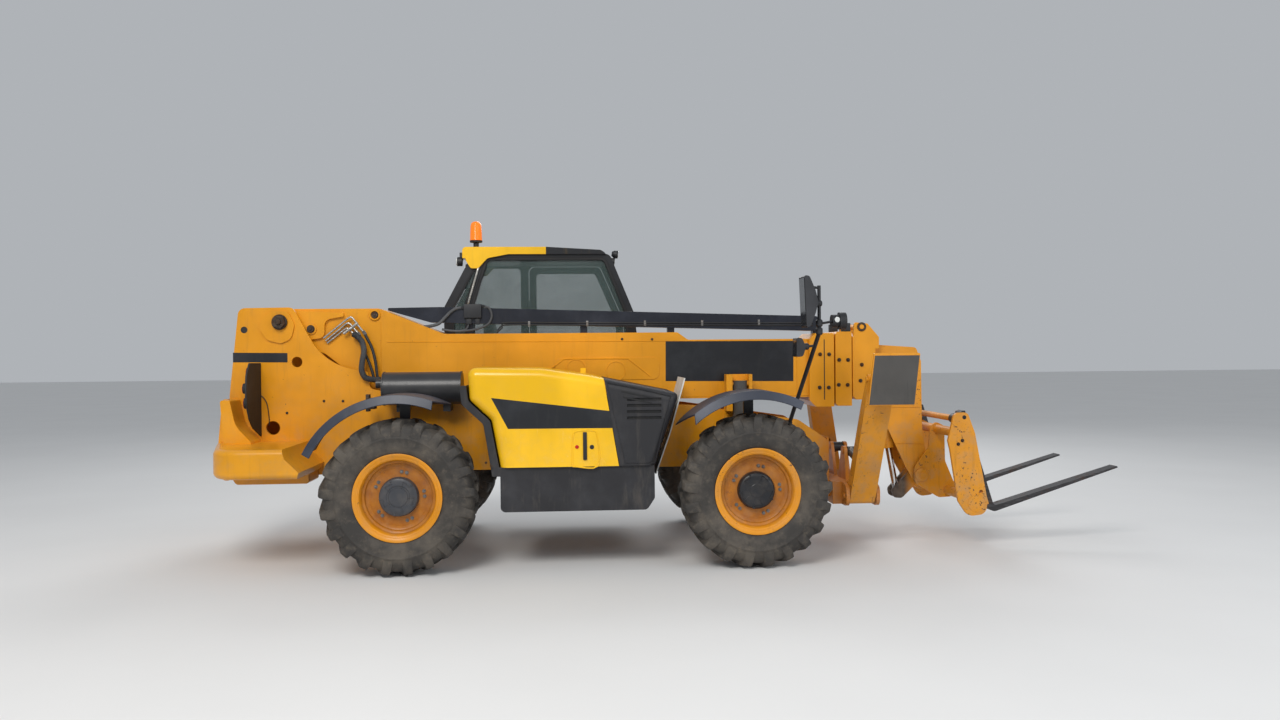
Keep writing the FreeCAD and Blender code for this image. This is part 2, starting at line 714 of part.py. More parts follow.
def make_chassis():
    arch = "saddle_half_x + 60"
    outline = [
        ("tower_rear_x + 20", "rail_bottom_z - 40", "30"),
        ("tower_rear_x - 20", "rail_top_z + 116", "0"),
        ("tower_rear_x + 60", "tower_top_z", "60"),
        ("tower_front_x", "tower_top_z + 5", "60"),
        ("tower_front_x + 258", "1607", "480"),
        ("-387", "1540", "30"),
        ("-370", "1400", "40"),
        ("60", "rail_top_z + 60", "100"),
        ("700", "rail_top_z", "100"),
        ("wheelbase - 424", "rail_top_z", "80"),
        ("wheelbase + 526", "rail_top_z - 140", "80"),
        ("rail_front_x", "914", "30"),
        ("rail_front_x", "front_frame_z0 + 50", "30"),
        ("rail_front_x - 130", "front_frame_z0 + 50", "30"),
        ("rail_front_x - 330", "rail_bottom_z - 20", "60"),
        (f"wheelbase + {arch} + 60", "rail_bottom_z - 20", "40"),
        (f"wheelbase + {arch}", "saddle_z", "0"),
        (f"wheelbase - ({arch})", "saddle_z", "0"),
        (f"wheelbase - ({arch}) - 60", "rail_bottom_z", "40"),
        (f"{arch} + 60", "rail_bottom_z", "40"),
        (f"{arch}", "saddle_z", "0"),
        (f"-({arch})", "saddle_z", "0"),
        (f"-({arch}) - 60", "rail_bottom_z", "40"),
    ]
    holes = [
        ("-968", "1628", "44"),
        ("-1396", "1899", "28"),
        ("-1170", "1079", "58"),
    ]
    plate_left = plate("side_plate", "XZ", "plate_inner", "plate_inner + plate_wall", outline, holes=holes)
    ring_left = plate(
        "pivot_ring_left", "XZ", "plate_inner + plate_wall", "plate_inner + plate_wall + pivot_ring_wall",
        [
            ("pivot_x - 176", "pivot_z - 55", "60"),
            ("pivot_x - 150", "pivot_z + 42", "60"),
            ("pivot_x - 62", "pivot_z + 100", "50"),
            ("pivot_x + 62", "pivot_z + 88", "50"),
            ("pivot_x + 112", "pivot_z - 24", "60"),
            ("pivot_x + 84", "pivot_z - 140", "60"),
            ("pivot_x", "pivot_z - 178", "50"),
            ("pivot_x - 110", "pivot_z - 150", "60"),
        ],
    )
    parts = [plate_left, mirror("side_plate_right", plate_left), ring_left, mirror("pivot_ring_right", ring_left)]
    inner = ("-plate_inner", "plate_inner")
    cross = [
        ("saddle_front", f"wheelbase - ({arch})", f"wheelbase + {arch}", "saddle_z", "saddle_z + belly_wall"),
        ("saddle_rear", f"-({arch})", f"{arch}", "saddle_z", "saddle_z + belly_wall"),
        ("belly", "320", "wheelbase - 350", "rail_bottom_z", "rail_bottom_z + belly_wall"),
        ("tail", "tower_rear_x + 22", "tower_rear_x + 42", "rail_bottom_z", "1650"),
        ("tail_floor", "tower_rear_x + 22", "-700", "rail_bottom_z", "rail_bottom_z + belly_wall"),
        ("front_tie", "rail_front_x - 230", "rail_front_x - 210", "rail_bottom_z", "1000"),
    ]
    for name, x0, x1, z0, z1 in cross:
        parts.append(box(name, x0, x1, *inner, z0, z1))
    parts.append(
        box(
            "bulkhead", "rail_front_x", "front_frame_x0", "-(plate_inner + plate_wall)", "plate_inner + plate_wall",
            "front_frame_z0 + 50", "930",
        )
    )
    parts.append(
        box(
            "front_beam", "front_frame_x0", "front_frame_x1", "-front_frame_half", "front_frame_half",
            "front_frame_z0", "front_frame_z1",
        )
    )
    for side_name, side in sides:
        for end, x0, x1 in (
            ("back", "leg_x - leg_half_x - ear_gap - ear_wall", "leg_x - leg_half_x - ear_gap"),
            ("front", "leg_x + leg_half_x + ear_gap", "leg_x + leg_half_x + ear_gap + ear_wall"),
        ):
            ear = plate(
                f"leg_ear_{side_name}_{end}", "YZ", x0, x1,
                [
                    (f"{side} * (front_frame_half - 40)", "front_frame_z0", "0"),
                    (f"{side} * (leg_y + 75)", "front_frame_z0", "60"),
                    (f"{side} * (leg_y + 75)", "leg_z + 75", "60"),
                    (f"{side} * (leg_y - 20)", "front_frame_z1", "0"),
                    (f"{side} * (front_frame_half - 40)", "front_frame_z1", "0"),
                ],
            )
            parts.append(ear)
        parts.append(
            rod(
                "leg_pin_" + side_name, "X", "0", f"{side} * leg_y", "leg_z", "leg_pin",
                "leg_x - leg_half_x - ear_gap - ear_wall - 12", "leg_x + leg_half_x + ear_gap + ear_wall + 12",
            )
        )
        parts.append(
            rod(
                "stab_pin_" + side_name, "X", "0", f"{side} * stab_base_y", "stab_base_z", "stab_rod_radius",
                "leg_x - 82", "leg_x + 82",
            )
        )
        for end, x0, x1 in (("back", "leg_x - 76", "leg_x - 48"), ("front", "leg_x + 48", "leg_x + 76")):
            parts.append(
                plate(
                    f"stab_base_{side_name}_{end}", "YZ", x0, x1,
                    [
                        (f"{side} * 60", "front_frame_z1 - 10", "0"),
                        (f"{side} * 320", "front_frame_z1 - 10", "0"),
                        (f"{side} * (stab_base_y + 46)", "stab_base_z + 46", "45"),
                        (f"{side} * (stab_base_y - 46)", "stab_base_z + 46", "45"),
                    ],
                )
            )
        inner_y, outer_y = sorted((f"{side} * plate_inner", f"{side} * (lift_barrel_radius + 14)"), key=value)
        lift_lug = plate(
            "lift_base_" + side_name, "XZ", inner_y, outer_y,
            [
                ("lift_base_x - 90", "rail_bottom_z", "0"),
                ("lift_base_x + 90", "rail_bottom_z", "0"),
                ("lift_base_x + 60", "lift_base_z + 60", "50"),
                ("lift_base_x - 60", "lift_base_z + 60", "50"),
            ],
        )
        parts.append(lift_lug)
    parts.append(
        rod(
            "lift_base_pin", "Y", "lift_base_x", "0", "lift_base_z", "ram_pin",
            "-(plate_inner + 5)", "plate_inner + 5",
        )
    )
    parts.append(
        box(
            "lift_floor", "lift_base_x - 110", "lift_base_x + 110", *inner, "rail_bottom_z",
            "rail_bottom_z + belly_wall",
        )
    )
    rail_y = "plate_inner + plate_wall"
    outriggers = [
        ("cab_bearer_front", "cab_front_x - 240", rail_y, "cab_outer_y - 60", "cab_floor_z - 70", "cab_floor_z"),
        ("cab_bearer_rear", "840", rail_y, "cab_outer_y - 60", "cab_floor_z - 70", "cab_floor_z"),
        ("engine_bearer_front", "tray_front_x - 337", "-(tray_outer - tray_wall)", f"-({rail_y})",
         "tray_bottom + tray_wall", "engine_z0"),
        ("engine_bearer_rear", "850", "-(tray_outer - tray_wall)", f"-({rail_y})",
         "tray_bottom + tray_wall", "engine_z0"),
    ]
    for name, x, y0, y1, z0, z1 in outriggers:
        parts.append(box(name, x, f"{x} + 80", y0, y1, z0, z1))
        if "engine" in name:
            parts.append(
                box(
                    name + "_drop", x, f"{x} + 80", f"-({rail_y} + 60)", f"-({rail_y})", "tray_bottom + tray_wall",
                    "rail_bottom_z + 60",
                )
            )
    parts.append(
        rod(
            "pivot_pin_bar", "Y", "pivot_x", "0", "pivot_z", "pivot_pin",
            "-(plate_inner + plate_wall + pivot_ring_wall + 12)", "plate_inner + plate_wall + pivot_ring_wall + 12",
        )
    )
    for index, x in enumerate(("650", "hood_split_x - 269")):
        parts.append(
            rod(f"hood_hinge_{index}", "X", "0", "-hinge_y", "hinge_z", "hinge_radius", x, f"{x} + 150")
        )
        parts.append(
            box(
                f"hood_post_{index}", x, f"{x} + 90", "-hinge_y - 8", "-hinge_y + 8", "rail_top_z - 60", "hinge_z"
            )
        )
        parts.append(
            box(
                f"hood_foot_{index}", x, f"{x} + 90", "-hinge_y - 8", "-(plate_inner + plate_wall)",
                "rail_top_z - 60", "rail_top_z - 40",
            )
        )
    node("chassis_frame", fuse("chassis_whole", *parts))


# Rear weight: a rounded bumper round the tower, a keel under it and two horns up the tower's sides.

def make_weight():
    tower_y = "plate_inner + plate_wall"
    half_plan = [
        ("weight_rear_x", "-280", "200"),
        ("weight_rear_x + 250", "-weight_half_y", "250"),
        ("weight_front_x", "-weight_half_y", "0"),
        ("weight_front_x", f"-({tower_y})", "0"),
        ("tower_rear_x - 24", f"-({tower_y})", "0"),
    ]
    plan = half_plan + [(x, f"-({y})", radius) for x, y, radius in reversed(half_plan)]
    bumper = plate("weight_bumper", "XY", "weight_bottom_z", "weight_top_z", plan)
    doc.recompute()
    edges = [
        f"Edge{index + 1}" for index, edge in enumerate(bumper.Shape.Edges)
        if edge.BoundBox.ZLength < 1 and (
            edge.BoundBox.XMax < value("tower_rear_x - 25") or abs(edge.CenterOfMass.y) > value("weight_half_y - 120")
        )
    ]
    rounding = bumper.newObject("PartDesign::Fillet", "weight_bumper_edge")
    rounding.Base = (bumper.Group[-2] if bumper.Group[-1] is rounding else bumper.Group[-1], edges)
    bind(rounding, Radius="weight_edge")
    bumper.Tip = rounding
    slope = plate(
        "weight_slope", "XZ", "-(weight_half_y + 5)", "weight_half_y + 5",
        [
            ("weight_front_x - 60", "weight_keel_z - 10"),
            ("weight_front_x - 5", "weight_bottom_z + 50"),
            ("weight_front_x - 110", "weight_top_z - 73"),
            ("weight_front_x - 135", "weight_top_z + 5"),
            ("weight_front_x + 60", "weight_top_z + 5"),
            ("weight_front_x + 60", "weight_keel_z - 10"),
        ],
    )
    parts = [cut("weight_bumper_cut", bumper, slope)]
    horn = [
        ("weight_rear_x + 130", "weight_horn_z", "20"),
        ("weight_rear_x + 206", "weight_horn_z", "20"),
        ("weight_rear_x + 250", "weight_horn_z - 210", "200"),
        ("weight_rear_x + 424", "weight_top_z - 40", "40"),
        ("weight_rear_x + 160", "weight_top_z - 40", "0"),
    ]
    keel = [
        ("weight_rear_x + 200", "weight_bottom_z + 30", "0"),
        ("weight_rear_x + 270", "weight_keel_z", "40"),
        ("weight_front_x - 50", "weight_keel_z", "20"),
        ("weight_front_x - 50", "weight_bottom_z + 30", "0"),
    ]
    block = [
        ("weight_rear_x + 30", "weight_top_z - 60", "0"),
        ("weight_rear_x + 70", "weight_horn_z", "30"),
        ("tower_rear_x - 24", "weight_horn_z", "0"),
        ("tower_rear_x - 24", "weight_keel_z", "0"),
        ("weight_rear_x + 70", "weight_keel_z", "30"),
        ("weight_rear_x + 30", "weight_bottom_z + 40", "0"),
    ]
    for side_name, side in sides:
        for name, loop, reach in (("horn", horn, "560"), ("keel", keel, "620")):
            inner, outer = sorted((f"{side} * ({tower_y})", f"{side} * {reach}"), key=value)
            parts.append(plate(f"weight_{name}_{side_name}", "XZ", inner, outer, loop))
    parts.append(plate("weight_block", "XZ", "-330", "330", block))
    node("rear_weight", fuse("weight_whole", *parts))
    boards = []
    for side_name, side in sides:
        boards.append(
            plate(
                "lamp_board_" + side_name, "YZ", "-1275", "-1261",
                [
                    (f"{side} * ({tower_y})", "1622", "0"),
                    (f"{side} * 583", "1625", "30"),
                    (f"{side} * 660", "1531", "60"),
                    (f"{side} * 681", "1412", "60"),
                    (f"{side} * 668", "1292", "60"),
                    (f"{side} * 599", "1168", "60"),
                    (f"{side} * 503", "1090", "30"),
                    (f"{side} * ({tower_y})", "1010", "0"),
                ],
            )
        )
        lamps = (("480", "1540", "52"), ("590", "1420", "42"), ("560", "1300", "46"))
        for index, (y, z, radius) in enumerate(lamps):
            boards.append(
                rod(f"tail_lamp_{side_name}_{index}", "X", "0", f"{side} * {y}", z, radius, "-1312", "-1270")
            )
    node("lamp_boards", fuse("lamp_boards_whole", *boards))


# Boom: four nested box stages, each sliding in the collar of the one before.

def stage_size(step):
    """Half width, bottom and top of the inner stages: step 1 is the second stage."""
    shrink = f"{step} * (stage_play + stage_wall) + boom_wall - stage_wall"
    return f"(boom_half - ({shrink}))", f"(boom_bottom + {shrink})", f"(boom_top - ({shrink}))"


def collar(name, x0, x1, half, bottom, top, step, chamfer):
    inner_half, inner_bottom, inner_top = stage_size(step)
    block = plate(
        name, "XZ", f"-({half})", half,
        [
            (x0, f"{bottom} + {chamfer}"),
            (x0, f"{top} - {chamfer}"),
            (f"{x0} + {chamfer}", top),
            (x1, top),
            (x1, bottom),
            (f"{x0} + {chamfer}", bottom),
        ],
    )
    hole = box(
        name + "_hole", f"{x0} - 400", f"{x1} + 5", f"-({inner_half}) - slide_gap", f"{inner_half} + slide_gap",
        f"{inner_bottom} - slide_gap", f"{inner_top} + slide_gap",
    )
    return block, hole


def inner_stage(label, step, rear, front, ring, chamfer):
    half, bottom, top = stage_size(step)
    body = box(label + "_body", rear, front, f"-({half})", half, bottom, top)
    bore = box(
        label + "_bore", f"{rear} - 5", f"{front} + 5", f"-({half}) + stage_wall", f"{half} - stage_wall",
        f"{bottom} + stage_wall", f"{top} - stage_wall",
    )
    grow = "stage_play - slide_gap"
    slide = box(
        label + "_slide", rear, f"{rear} + slide_block", f"-({half}) - ({grow})", f"{half} + {grow}",
        f"{bottom} - ({grow})", f"{top} + {grow}",
    )
    x0, x1, ring_half, ring_bottom, ring_top = ring
    block, hole = collar(label + "_collar", x0, x1, ring_half, ring_bottom, ring_top, step + 1, chamfer)
    shell = cut(label + "_shell", fuse(label + "_raw", body, slide), bore)
    ring_part = cut(label + "_ring", block, box(
        label + "_ring_gap", f"{x0} - 5", f"{x1} + 5", f"-({half}) + stage_wall", f"{half} - stage_wall",
        f"{bottom} + stage_wall", f"{top} - stage_wall",
    ))
    liner_half, liner_bottom, liner_top = stage_size(step + 1)
    liner_outer = box(
        label + "_liner", x0, x1, f"-({half}) + stage_wall", f"{half} - stage_wall",
        f"{bottom} + stage_wall", f"{top} - stage_wall",
    )
    liner = cut(label + "_liner_cut", liner_outer, hole)
    return fuse(label + "_whole", shell, ring_part, liner)


def make_boom():
    outline = [
        ("pivot_x - 131", "boom_rear_z", "110"),
        ("-300", "boom_rear_z", "80"),
        ("240", "boom_hump_z", "80"),
        ("boom_end_x - 1170", "boom_hump_z", "40"),
        ("boom_end_x - 1080", "boom_top", "40"),
        ("boom_end_x", "boom_top", "0"),
        ("boom_end_x", "boom_bottom", "0"),
        ("-240", "boom_bottom", "80"),
        ("-760", "1700", "150"),
        ("pivot_x - 131", "1830", "110"),
    ]
    hollow = [
        ("pivot_x + 134", "boom_rear_z - boom_wall", "0"),
        ("-304", "boom_rear_z - boom_wall", "0"),
        ("236", "boom_hump_z - boom_wall", "0"),
        ("boom_end_x - 1174", "boom_hump_z - boom_wall", "0"),
        ("boom_end_x - 1084", "boom_top - boom_wall", "0"),
        ("boom_end_x + 5", "boom_top - boom_wall", "0"),
        ("boom_end_x + 5", "boom_bottom + boom_wall", "0"),
        ("-236", "boom_bottom + boom_wall", "0"),
        ("-750", "1712", "0"),
        ("pivot_x + 134", "1822", "0"),
    ]
    shell = plate("boom_shell", "XZ", "-boom_half", "boom_half", outline)
    cavity = plate("boom_hollow", "XZ", "-(boom_half - boom_wall)", "boom_half - boom_wall", hollow)
    block, hole = collar(
        "boom_collar_one", "collar_one_x0", "collar_one_x1", "collar_half", "collar_bottom", "collar_top", 1, "55"
    )
    boss = rod(
        "boom_boss", "Y", "pivot_x", "0", "pivot_z", "pivot_pin + 55",
        "-(plate_inner - slide_gap)", "plate_inner - slide_gap",
    )
    bore = rod(
        "boom_bore", "Y", "pivot_x", "0", "pivot_z", "pivot_pin + 0.05", "-plate_inner", "plate_inner"
    )
    lugs = []
    for side_name, side in sides:
        inner, outer = sorted(
            (f"{side} * (ram_eye_half + lug_gap)", f"{side} * (ram_eye_half + lug_gap + lug_wall)"), key=value
        )
        lugs.append(
            plate(
                "lift_lug_" + side_name, "XZ", inner, outer,
                [
                    ("lift_eye_x - 130", "boom_bottom", "0"),
                    ("lift_eye_x - 62", "lift_eye_z - 62", "50"),
                    ("lift_eye_x + 62", "lift_eye_z - 62", "50"),
                    ("lift_eye_x + 130", "boom_bottom", "0"),
                ],
            )
        )
        inner, outer = sorted(
            (f"{side} * (ram_eye_half + lug_gap + lug_wall)", f"{side} * (ram_eye_half + lug_gap + lug_wall + 20)"),
            key=value,
        )
        lugs.append(rod("lift_stub_" + side_name, "Y", "lift_eye_x", "0", "lift_eye_z", "ram_pin + 10", inner, outer))
    embossing = []
    for side_name, side in sides:
        inner, outer = sorted((f"{side} * boom_half", f"{side} * (boom_half + 6)"), key=value)
        embossing.append(
            plate(
                "boom_side_pad_" + side_name, "XZ", inner, outer,
                [
                    ("1180", "1450", "60"),
                    ("boom_end_x - 1330", "1450", "60"),
                    ("boom_end_x - 1330", "1640", "60"),
                    ("1180", "1640", "60"),
                ],
            )
        )
        inner, outer = sorted((f"{side} * boom_half", f"{side} * (boom_half + 28)"), key=value)
        embossing.append(
            plate(
                "boom_bracket_" + side_name, "XZ", inner, outer,
                [
                    ("pivot_x + 66", "pivot_z + 96", "30"),
                    ("pivot_x + 500", "pivot_z + 80", "15"),
                    ("pivot_x + 500", "pivot_z + 48", "10"),
                    ("pivot_x + 345", "pivot_z + 20", "60"),
                    ("pivot_x + 337", "pivot_z - 131", "50"),
                    ("pivot_x + 130", "pivot_z - 160", "60"),
                ],
            )
        )
        inner, outer = sorted((f"{side} * boom_half", f"{side} * (boom_half + 40)"), key=value)
        embossing.append(
            rod("boom_bracket_pin_" + side_name, "Y", "pivot_x + 231", "0", "pivot_z - 57", "46", inner, outer)
        )
    whole = fuse("boom_raw", cut("boom_hollowed", shell, cavity), block, boss, *lugs, *embossing)
    node("boom_outer", cut("boom_outer_cut", whole, hole, bore))

    wide_ring = ("collar_two_x0", "collar_two_x1", "collar_half", "collar_bottom + 4", "collar_top + 12")
    node("boom_second", inner_stage("second", 1, "inner_rear_x", "collar_two_x1", wide_ring, "20"))
    narrow_ring = (
        "collar_three_x0", "collar_three_x1", "collar_three_half", "collar_three_bottom", "collar_top - 4"
    )
    third = inner_stage("third", 2, "inner_rear_x + 30", "collar_three_x1", narrow_ring, "30")
    ears = []
    for side_name, side in sides:
        inner, outer = sorted((f"{side} * (collar_three_half - 24)", f"{side} * collar_three_half"), key=value)
        ears.append(
            plate(
                "third_ear_" + side_name, "XZ", inner, outer,
                [
                    ("collar_three_x0 + 5", "collar_top - 60", "0"),
                    ("collar_three_x0 + 15", "collar_top + 94", "20"),
                    ("collar_three_x1 - 69", "collar_top + 82", "10"),
                    ("collar_three_x1 + 33", "collar_top - 38", "10"),
                    ("collar_three_x1 + 33", "collar_top - 140", "10"),
                    ("collar_three_x1 - 20", "collar_top - 140", "0"),
                ],
            )
        )
    ears.append(
        rod(
            "third_bar", "Y", "collar_three_x0 + 81", "0", "collar_top + 53", "20", "-(collar_three_half + 10)",
            "collar_three_half + 10",
        )
    )
    node("boom_third", fuse("third_with_ears", third, *ears))

    half, bottom, top = stage_size(3)
    body = box("nose_tube", "inner_rear_x + 60", "tool_pivot_x - 376", f"-({half})", half, bottom, top)
    grow = "stage_play - slide_gap"
    slide = box(
        "nose_slide", "inner_rear_x + 60", "inner_rear_x + 60 + slide_block", f"-({half}) - ({grow})",
        f"{half} + {grow}", f"{bottom} - ({grow})", f"{top} + {grow}",
    )
    head = plate(
        "nose_head", "XZ", "-nose_half", "nose_half",
        [
            ("tool_pivot_x - 406", f"{top}", "0"),
            ("tool_pivot_x - 30", f"{top} - 26", "35"),
            ("tool_pivot_x + 16", f"{top} - 150", "0"),
            ("tool_pivot_x + 22", "tool_pivot_z + 430", "60"),
            ("tool_pivot_x + 68", "tool_pivot_z + 80", "40"),
            ("tool_pivot_x + 60", "tool_pivot_z - 60", "48"),
            ("tool_pivot_x - 56", "tool_pivot_z - 60", "48"),
            ("tool_pivot_x - 137", "tool_pivot_z + 85", "60"),
            ("tool_pivot_x - 311", "tool_pivot_z + 458", "100"),
            ("tool_pivot_x - 406", f"{bottom}", "0"),
        ],
    )
    channel = plate(
        "nose_channel", "XZ", "-(nose_half - nose_wall)", "nose_half - nose_wall",
        [
            ("tool_pivot_x - 506", f"{top} - nose_wall - 26"),
            ("tool_pivot_x - 42", f"{top} - nose_wall - 26"),
            ("tool_pivot_x", f"{top} - 150"),
            ("tool_pivot_x + 7", "tool_pivot_z + 430"),
            ("tool_pivot_x + 7", "tool_pivot_z + 124"),
            ("tool_pivot_x + 90", "tool_pivot_z + 124"),
            ("tool_pivot_x + 90", "tool_pivot_z - 170"),
            ("tool_pivot_x - 506", "tool_pivot_z - 170"),
        ],
    )
    bore_tube = box(
        "nose_bore", "inner_rear_x + 50", "tool_pivot_x - 381", f"-({half}) + stage_wall", f"{half} - stage_wall",
        f"{bottom} + stage_wall", f"{top} - stage_wall",
    )
    raw = fuse("nose_raw", body, slide, head)
    pin_hole = rod("nose_pin_hole", "Y", "tool_pivot_x", "0", "tool_pivot_z", "tool_pin + 0.05", "-300", "300")
    hollowed = cut("nose_hollowed", raw, channel, bore_tube, pin_hole)
    tilt_pin = rod(
        "tilt_base_pin", "Y", "tilt_base_x", "0", "tilt_base_z", "ram_pin - 6", "-(nose_half + 8)", "nose_half + 8"
    )
    node("boom_nose", fuse("nose_whole", hollowed, tilt_pin))
    make_hose_tray()


def make_hose_tray():
    """Hose tray along the top of the boom, on four feet."""
    tray = plate(
        "hose_tray_bar", "XZ", "hose_tray_y - hose_tray_half", "hose_tray_y + hose_tray_half",
        [
            ("-236", "boom_rear_z - 17", "4"),
            ("-236", "boom_rear_z + 6", "8"),
            ("200", "boom_rear_z + 12", "0"),
            ("boom_end_x + 80", "boom_hump_z + 134", "25"),
            ("boom_end_x + 80", "boom_hump_z + 4", "15"),
            ("120", "boom_hump_z + 100", "0"),
        ],
    )
    feet = []
    for index, x in enumerate(("420", "boom_end_x - 2010", "boom_end_x - 1250")):
        feet.append(
            box(
                f"hose_foot_{index}", x, f"{x} + 60", "hose_tray_y - 40", "hose_tray_y + 40",
                "boom_hump_z + slide_gap", "boom_hump_z + 110",
            )
        )
    foot_front = box(
        "hose_foot_front", "boom_end_x + 38", "boom_end_x + 78", "hose_tray_y - 40", "hose_tray_y + 40",
        "collar_top + slide_gap", "boom_hump_z + 60",
    )
    node("hose_tray", fuse("hose_tray_whole", tray, *feet, foot_front))


# Rams: each a barrel with a base eye and a rod that runs in its bore.

def make_ram(name, base, eye, barrel_radius, barrel_length, rod_radius, rod_length, eye_radius, half, pin, bore_start):
    """A ram in the XZ plane from its base pin to its rod eye, both along Y."""
    base_x, base_z = base
    eye_x, eye_z = eye
    reach = math.dist((value(base_x), value(base_z)), (value(eye_x), value(eye_z)))
    along_x = (value(eye_x) - value(base_x)) / reach
    along_z = (value(eye_z) - value(base_z)) / reach

    def at(distance):
        return (f"{base_x} + {along_x * distance:.6f}", "0", f"{base_z} + {along_z * distance:.6f}")

    length = value(barrel_length)
    barrel = strut(name + "_case", at(0), at(length), barrel_radius)
    gland = strut(name + "_gland", at(length - value("ram_gland")), at(length), f"{barrel_radius} + ram_collar")
    wide = f"{barrel_radius} + ram_collar"
    base_eye = rod(name + "_base_eye", "Y", base_x, "0", base_z, wide, f"-({wide})", wide)
    base_bore = rod(
        name + "_base_bore", "Y", base_x, "0", base_z, f"{pin} + bore_play", f"-({wide}) - {pin}", f"{wide} + {pin}"
    )
    bore = strut(name + "_bore", at(value(bore_start)), at(length + value(rod_radius)), f"{rod_radius} + bore_play")
    whole = fuse(name + "_barrel_raw", barrel, gland, base_eye)
    node(name + "_barrel", cut(name + "_barrel_cut", whole, bore, base_bore))
    bar = strut(name + "_bar", at(reach - value(rod_length)), at(reach), rod_radius)
    rod_eye = rod(name + "_rod_eye", "Y", eye_x, "0", eye_z, eye_radius, f"-({half})", half)
    eye_bore = rod(name + "_eye_bore", "Y", eye_x, "0", eye_z, pin, f"-({half}) - 40", f"{half} + 40")
    node(name + "_rod", cut(name + "_rod_cut", fuse(name + "_rod_raw", bar, rod_eye), eye_bore))


def make_rams():
    make_ram(
        "lift_ram", ("lift_base_x", "lift_base_z"), ("lift_eye_x", "lift_eye_z"),
        "lift_barrel_radius", "lift_barrel_length", "lift_rod_radius", "lift_rod_length",
        "ram_eye_radius", "ram_eye_half", "ram_pin", "lift_barrel_radius",
    )
    make_ram(
        "tilt_ram", ("tilt_base_x", "tilt_base_z"), ("tilt_eye_x", "tilt_eye_z"),
        "tilt_barrel_radius", "tilt_barrel_length", "tilt_rod_radius", "tilt_rod_length",
        "ram_eye_radius - 20", "lever_inner - 6", "ram_pin - 6", "tilt_barrel_radius - 10",
    )


# Tool carrier: a bell crank on the nose pin, a fork frame and two forks.

